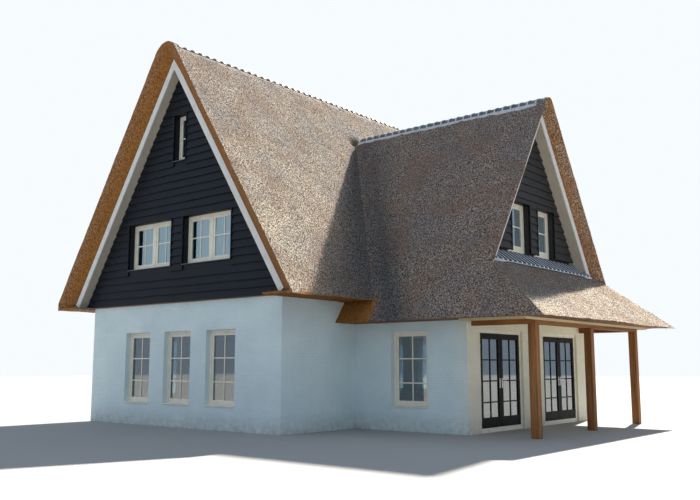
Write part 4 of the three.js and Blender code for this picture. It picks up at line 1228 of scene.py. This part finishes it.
# Curtains

CURTAIN_Y = -5.37
CURTAIN_FOLD = 0.024
CURTAIN_FOLD_PITCH = 0.1
CURTAIN_THICK = 0.001
CURTAIN_STATIONS = 240
CURTAIN_HEAD = 0.07
CURTAIN_FOOT = 0.05
ROD_RADIUS = 0.008
ROD_END = 0.04

# Drift of the folds as (size, waves), and each curtain's window, its centre and the gaps on its two sides
FOLD_DRIFT = ((1.4, 3.1), (0.6, 11.0))
CURTAINS = {
    "curtain_upper_1": (UPPER_WINDOWS, UPPER_CENTRES[0], 0.2, 0.07),
    "curtain_upper_2": (UPPER_WINDOWS, UPPER_CENTRES[1], 0.2, 0.07),
    "curtain_attic": (ATTIC_WINDOW, 0.0, 0.06, 0.04),
}


def build_curtain(name, kind, centre, left_gap, right_gap):
    """A gathered net that hangs under a rod behind a window."""
    half = kind.width / 2
    x0, x1 = AXIS_X + centre - half + left_gap, AXIS_X + centre + half - right_gap
    top, bottom = kind.head - CURTAIN_HEAD, kind.sill + CURTAIN_FOOT
    rod = Batch()
    rod_z = top + ROD_RADIUS
    rod.rod((x0 - ROD_END, CURTAIN_Y, rod_z), (x1 + ROD_END, CURTAIN_Y, rod_z), ROD_RADIUS)
    rod_name = f"{name}_rod"
    rod.piece(rod_name, STEEL, "window_joinery", smooth=True)
    x = np.linspace(x0, x1, CURTAIN_STATIONS)
    phase = 2 * math.pi * (x - x0) / CURTAIN_FOLD_PITCH
    phase += sum(size * np.sin(waves * x) for size, waves in FOLD_DRIFT)
    y = CURTAIN_Y + CURTAIN_FOLD * np.sin(phase)
    along = np.column_stack([np.gradient(x), np.gradient(y)])
    along /= np.linalg.norm(along, axis=1, keepdims=True)
    side = np.column_stack([-along[:, 1], along[:, 0]]) * CURTAIN_THICK / 2
    net = Batch()
    net.loft([[(px + sx, py + sy, bottom), (px - sx, py - sy, bottom), (px - sx, py - sy, top),
               (px + sx, py + sy, top)] for px, py, (sx, sy) in zip(x, y, side)])
    cloth = net.piece(name, NET, "net_curtain", smooth=True)


# French doors

DOOR_FACE_X = 4.381
DOORWAY_CENTRE = 1.53
DOOR_CLEAR = 0.91
LEAF_FOOT = 0.106
LEAF_WIDTH = 0.899
LEAF_HEIGHT = 2.088
LEAF_GAP = 0.006
LEAF_THICK = 0.055
DOOR_STILE = 0.095
DOOR_RAILS = (0.22, 0.13)
DOOR_BARS = (0.554, 1.024, 1.494)
LEAF_BARS = ((0.01, 0.045), (0.011, 0.044))
LEAF_REBATE = 0.004

# Bottom panel: how far it stays inside the stiles, its heights and the depths of its faces
PANEL_INSIDE = 0.035
PANEL_HEIGHTS = (0.04, 0.18)
PANEL_DEPTHS = (0.0005, 0.049)

# Fittings: plate, neck and grip of the handle, key cylinder and hinge barrels
PLATE_HEIGHTS = (0.86, 1.08)
PLATE_HALF = 0.02
PLATE_THICK = 0.006
HANDLE_Z = 1.02
NECK_RADIUS = 0.008
NECK_LENGTH = 0.045
GRIP_RADIUS = 0.0085
GRIP_LENGTH = 0.115
KEY_Z = 0.92
KEY_RADIUS = 0.009
KEY_PROUD = 0.01
HINGES = (0.18, 0.985, 1.79)
HINGE_HALF = 0.045
HINGE_RADIUS = 0.008
HINGE_SIDES = 14


def build_leaf(name, side, hinge_y, node, body):
    """One glazed leaf with its hinge line at (DOOR_FACE_X, hinge_y), running to side * Y."""
    origin = (DOOR_FACE_X, hinge_y, LEAF_FOOT)
    wood = Batch(FACE_RIGHT, origin)
    panes = Batch(FACE_RIGHT, origin)
    steel = Batch(0, origin)
    a0, a1 = LEAF_GAP, LEAF_GAP + LEAF_WIDTH
    g0, g1 = a0 + DOOR_STILE, a1 - DOOR_STILE
    foot, head = DOOR_RAILS
    frame_ring(wood, a0, a1, 0, LEAF_HEIGHT, DOOR_STILE, foot, head, 0.0, LEAF_THICK)
    wood.box(*zip((g0 + PANEL_INSIDE, g1 - PANEL_INSIDE), PANEL_DEPTHS, PANEL_HEIGHTS))
    glaze(wood, panes, (g0, g1, foot, LEAF_HEIGHT - head), 2, DOOR_BARS, LEAF_BARS, LEAF_THICK / 2,
          LEAF_REBATE)
    handle = a1 - DOOR_STILE / 2
    for face, way in ((0.0, 1), (-LEAF_THICK, -1)):
        depths = sorted((face, face + way * PLATE_THICK))
        steel.box(*zip(depths, (handle - PLATE_HALF, handle + PLATE_HALF), PLATE_HEIGHTS))
        grip = face + way * NECK_LENGTH
        steel.rod((face, handle, HANDLE_Z), (grip, handle, HANDLE_Z), NECK_RADIUS)
        steel.rod((grip, handle + NECK_RADIUS, HANDLE_Z), (grip, handle - GRIP_LENGTH, HANDLE_Z), GRIP_RADIUS)
        steel.rod((face, handle, KEY_Z), (face + way * KEY_PROUD, handle, KEY_Z), KEY_RADIUS)
    for height in HINGES:
        steel.rod((0, 0, height - HINGE_HALF), (0, 0, height + HINGE_HALF), HINGE_RADIUS, HINGE_SIDES)
    for batch, across, part, material, slot, bevel in (
            (wood, 0, "wood", DOOR, "door_joinery", JOINERY_BEVEL), (panes, 0, "panes", GLASS, "glass", 0.0),
            (steel, 1, "fittings", STEEL, "door_joinery", 0.0)):
        for points in batch.points:
            points[:, across] *= side
        batch.piece(f"{name}_{part}", material, slot, body=body, replaces=(node,), bevel=bevel,
                    smooth=part == "fittings")


def build_doors():
    for word, centre in (("front", -DOORWAY_CENTRE), ("back", DOORWAY_CENTRE)):
        for hand, side in (("left", 1), ("right", -1)):
            node = f"door_{word}_{hand}"
            build_leaf(f"leaf_{word}_{hand}", side, centre - side * DOOR_CLEAR, node, f"{node}_leaf")


# Veranda

POST = 0.18
POST_OUTER_X = 5.96
POST_PITCH = 2.793
BEAM_LOW = 2.336
BEAM_HIGH = 2.479
SCARF_Y = -1.1
SCARF = 0.32
SCARF_GAP = 0.003
POST_BEVEL = 0.012
OUTER_BEVEL = 0.006
SIDE_BEVEL = 0.008

# Gap that keeps touching timbers from sharing a face
SEAM = 0.0003

# Ceiling: reach from the wall and to each side, underside of the edge boards and of the boards, top
CEILING_END_X = 6.018
CEILING_HALF = 3.404
CEILING_EDGE_LOW = 2.41
CEILING_LOW = 2.4795
CEILING_TOP = 2.497
CEILING_BOARD = 0.138
CEILING_GAP = 0.002
CEILING_BACKING = 0.003
CEILING_BEVEL = 0.002
EDGE_BOARD = 0.025


def build_veranda():
    inner = POST_OUTER_X - POST
    reach = POST_PITCH + POST / 2
    for word, y in (("front", -POST_PITCH), ("middle", 0.0), ("back", POST_PITCH)):
        post = Batch()
        post.box((inner, y - POST / 2, 0.0), (POST_OUTER_X, y + POST / 2, BEAM_LOW - SEAM))
        post.piece(f"post_{word}", OAK_UPRIGHT, "oak", replaces=(f"veranda_post_{word}",),
                   bevel=POST_BEVEL)
    outer = Batch()
    scarf_end = SCARF_Y + SCARF
    for low0, low1, high0, high1 in ((-reach, scarf_end, -reach, SCARF_Y),
                                     (scarf_end + SCARF_GAP, reach, SCARF_Y + SCARF_GAP, reach)):
        outer.extrude([(low0, BEAM_LOW), (low1, BEAM_LOW), (high1, BEAM_HIGH), (high0, BEAM_HIGH)],
                      inner, POST_OUTER_X)
    outer.piece("beam_outer", SHADED_OAK_LEVEL, "oak", replaces=("veranda_beam_outer",), bevel=OUTER_BEVEL)
    ceiling = Batch()
    start, end, half = WING_END_X + HAIR / 2, CEILING_END_X - EDGE_BOARD, CEILING_HALF
    span = 2 * half - 2 * EDGE_BOARD
    count = round(span / CEILING_BOARD)
    pitch = span / count
    for i in range(count):
        y = -half + EDGE_BOARD + i * pitch
        ceiling.box((start, y + CEILING_GAP, CEILING_LOW),
                    (end, y + pitch - CEILING_GAP, CEILING_TOP - CEILING_GAP))
    ceiling.box((start, -half + HAIR, CEILING_TOP - CEILING_BACKING),
                (CEILING_END_X - HAIR, half - HAIR, CEILING_TOP))
    ceiling.box((end, -half, CEILING_EDGE_LOW), (CEILING_END_X, half, CEILING_TOP))
    for word, _, way in SIDES:
        side = Batch()
        y0, y1 = sorted((way * reach, way * (reach - POST)))
        side.box((WING_END_X + SEAM, y0, BEAM_LOW), (inner - SEAM, y1, BEAM_HIGH))
        side.piece(f"beam_{word}", SHADED_OAK_LEVEL, "oak", replaces=(f"veranda_beam_{word}",), bevel=SIDE_BEVEL)
        y0, y1 = sorted((way * half, way * (half - EDGE_BOARD)))
        ceiling.box((start, y0, CEILING_EDGE_LOW), (end, y1, CEILING_TOP))
    ceiling.piece("ceiling_boards", CEILING, "bargeboard", replaces=("veranda_ceiling",),
                  bevel=CEILING_BEVEL)


# Walls

# Tops of the bricks: main gables, main eaves, wing eaves and wing gable
GABLE_BRICKS = 3.0
EAVE_BRICKS = 2.96
WING_BRICKS = 2.452
WING_GABLE_BRICKS = 2.47
DOORWAY_HALF = 0.99
DOORWAY_FOOT = -0.1
DOORWAY_TOP = 2.28

# Foot of the wing's boards, and the batten under the main boards
WING_CLADDING_FOOT = 4.202
BATTEN_LOW = 3.004
BATTEN_HIGH = 3.016
BATTEN_DEEP = 0.064
BATTEN_SHORT = 0.02


def build_walls():
    ground_holes = [hole(GROUND_WINDOWS, centre) for centre in GROUND_CENTRES]
    left_holes = [hole(GROUND_WINDOWS, centre) for centre in LEFT_CENTRES]
    half = MAIN_HALF_WIDTH + BRICK_PROUD
    for word, turn, side in SIDES:
        build_bricks(f"bricks_main_{word}", turn, (AXIS_X, side * MAIN_HALF_LENGTH, 0), -half, half,
                     GABLE_BRICKS, ground_holes)
        start, end = sorted((-side * (MAIN_RIGHT_X + BRICK_PROUD), -side * (WING_END_X + BRICK_PROUD)))
        build_bricks(f"bricks_wing_{word}", turn, (0, side * WING_HALF_WIDTH, 0), start, end, WING_BRICKS,
                     [hole(WING_WINDOW, -side * WING_WINDOW_X)])
        start, end = sorted((side * (WING_HALF_WIDTH + BRICK_PROUD), side * MAIN_HALF_LENGTH))
        build_bricks(f"bricks_right_{word}", FACE_RIGHT, (MAIN_RIGHT_X, 0, 0), start, end, EAVE_BRICKS)
    build_bricks("bricks_left", FACE_LEFT, (MAIN_LEFT_X, 0, 0), -MAIN_HALF_LENGTH, MAIN_HALF_LENGTH,
                 EAVE_BRICKS, left_holes)
    doorways = [(centre - DOORWAY_HALF, centre + DOORWAY_HALF, DOORWAY_FOOT, DOORWAY_TOP)
                for centre in (-DOORWAY_CENTRE, DOORWAY_CENTRE)]
    # The wing gable's bricks take the cream tint of painted warm bounce light
    build_bricks("bricks_wing_gable", FACE_RIGHT, (WING_END_X, 0, 0), -WING_HALF_WIDTH, WING_HALF_WIDTH,
                 WING_GABLE_BRICKS, doorways, WARM_BOUNCE_BRICK)


def build_cladding():
    main_top = MAIN_INNER_APEX - SOFFIT_DROP
    wing_top = WING_INNER_APEX - SOFFIT_DROP

    def main_half(z):
        return (main_top - z) / MAIN_SLOPE

    def wing_half(z):
        return (wing_top - z) / WING_SLOPE

    holes = [hole(UPPER_WINDOWS, centre) for centre in UPPER_CENTRES] + [hole(ATTIC_WINDOW, 0.0)]
    for word, turn, side in SIDES:
        origin = (AXIS_X, side * MAIN_CLADDING_Y, 0)
        build_boards(f"boards_main_{word}", turn, origin, CLADDING_FOOT, main_half, main_top, holes, CLADDING)
        batten = Batch(turn, origin)
        reach = main_half(CLADDING_FOOT) - BATTEN_SHORT
        batten.box((-reach, HAIR, BATTEN_LOW), (reach, BATTEN_DEEP, BATTEN_HIGH))
        batten.piece(f"drip_batten_{word}", BATTEN, "oak")
    build_boards("boards_wing", FACE_RIGHT, (WING_CLADDING_X, 0, 0), WING_CLADDING_FOOT, wing_half, wing_top,
                 [hole(GABLE_WINDOW, centre) for centre in GABLE_CENTRES], FADED_CLADDING)


# Finishes of the CAD nodes that stay in view, by the start of their names
NODE_FINISHES = {
    "main_": BRICK, "wing_": BRICK, "wing_gable_pier": WARM_BOUNCE_BRICK, "wing_gable_lintel": WARM_BOUNCE_BRICK,
    "main_front_gable": CLADDING, "main_back_gable": CLADDING, "wing_gable": FADED_CLADDING,
    "bargeboards": BOARD, "soffit": SOFFIT, "door_frame": JOINERY, "glazing": GLASS,
    "ground_floor": CONCRETE, "upper_floor": CONCRETE, "attic_floor": CONCRETE,
}


def dress_nodes():
    for name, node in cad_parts.items():
        if node.hide_render:
            continue
        start = max((start for start in NODE_FINISHES if name.startswith(start)), key=len)
        node.data.materials.clear()
        node.data.materials.append(NODE_FINISHES[start])


# Floor, light and camera

FLOOR_REACH = 90
FLOOR_LOW = -0.05

# Sky as the camera sees it and as everything else sees it
SEEN_SKY = (0.93, 0.97, 1.0, 1)
LIGHT_SKY = (0.46, 0.54, 0.645, 1)

# Way to the sun, its strength, its size in degrees and its colour
SUN_WAY = (-0.188, 0.725, 0.663)
SUN_STRENGTH = 11.0
SUN_SPREAD = 1.6
SUN_COLOUR = (1.0, 0.93, 0.83)

# Camera: place, angles in degrees, lens and sensor in millimetres
CAMERA_PLACE = (13.601, -18.142, 1.48)
CAMERA_TILT = 98.152
CAMERA_TURN = 39.53
CAMERA_LENS = 41.39
CAMERA_SENSOR = 36


def build_studio():
    scene = bpy.context.scene
    link = scene.collection.objects.link
    floor = Batch()
    floor.box((-FLOOR_REACH, -FLOOR_REACH, FLOOR_LOW), (FLOOR_REACH, FLOOR_REACH, -HAIR))
    mesh = floor.mesh("studio_floor")
    f = Finish("studio_floor", 0.9)
    mesh.materials.append(f.done(f.ramp(f.noise(0.4, 3.0, 0.5), (0.34, 0.34, 0.335), (0.39, 0.39, 0.385))))
    stage = bpy.data.objects.new("studio_floor", mesh)
    link(stage)

    world = bpy.data.worlds.new("studio")
    scene.world = world
    world.use_nodes = True
    tree = world.node_tree
    path = tree.nodes.new("ShaderNodeLightPath")
    mix = tree.nodes.new("ShaderNodeMix")
    mix.data_type = "RGBA"
    mix.inputs[6].default_value = LIGHT_SKY
    mix.inputs[7].default_value = SEEN_SKY
    tree.links.new(path.outputs["Is Camera Ray"], mix.inputs[0])
    tree.links.new(mix.outputs[2], tree.nodes["Background"].inputs["Color"])

    sun = bpy.data.lights.new("key", "SUN")
    sun.energy = SUN_STRENGTH
    sun.angle = math.radians(SUN_SPREAD)
    sun.color = SUN_COLOUR
    key = bpy.data.objects.new("key", sun)
    key.rotation_euler = Vector(SUN_WAY).to_track_quat("Z", "Y").to_euler()
    link(key)

    view = bpy.data.cameras.new("view")
    view.sensor_width = CAMERA_SENSOR
    view.lens = CAMERA_LENS
    camera = bpy.data.objects.new("view", view)
    camera.location = CAMERA_PLACE
    camera.rotation_euler = (math.radians(CAMERA_TILT), 0, math.radians(CAMERA_TURN))
    link(camera)
    scene.camera = camera
    scene.view_settings.view_transform = "Standard"


build_studio()
coat = build_thatch()
scatter_reeds(coat, "reeds_slopes", count=32000, seed=21, cut_range=(0.0, 0.4), rise_range=(0.3, 1.0),
              length=(0.05, 0.1), lift=(0.06, 0.3))
scatter_reeds(coat, "reeds_verges", count=14000, seed=22, cut_range=(0.35, 1.0), rise_range=(-0.5, 0.5),
              length=(0.01, 0.022), lift=(0.1, 0.5))
build_ridge("main_ridge", FACE_RIGHT, (MAIN_RIDGE_X, 0, 0), MAIN_RIDGE, "ridge_tiles_main", SATIN_TILE,
            WORN_MORTAR)
build_ridge("wing_ridge", FACE_FRONT, (0, 0, 0), WING_RIDGE, "ridge_tiles_wing", TILE, MORTAR)
build_apron()
build_soffit_feet()
build_walls()
build_cladding()
build_windows()
for curtain, place in CURTAINS.items():
    build_curtain(curtain, *place)
build_doors()
build_veranda()
dress_nodes()
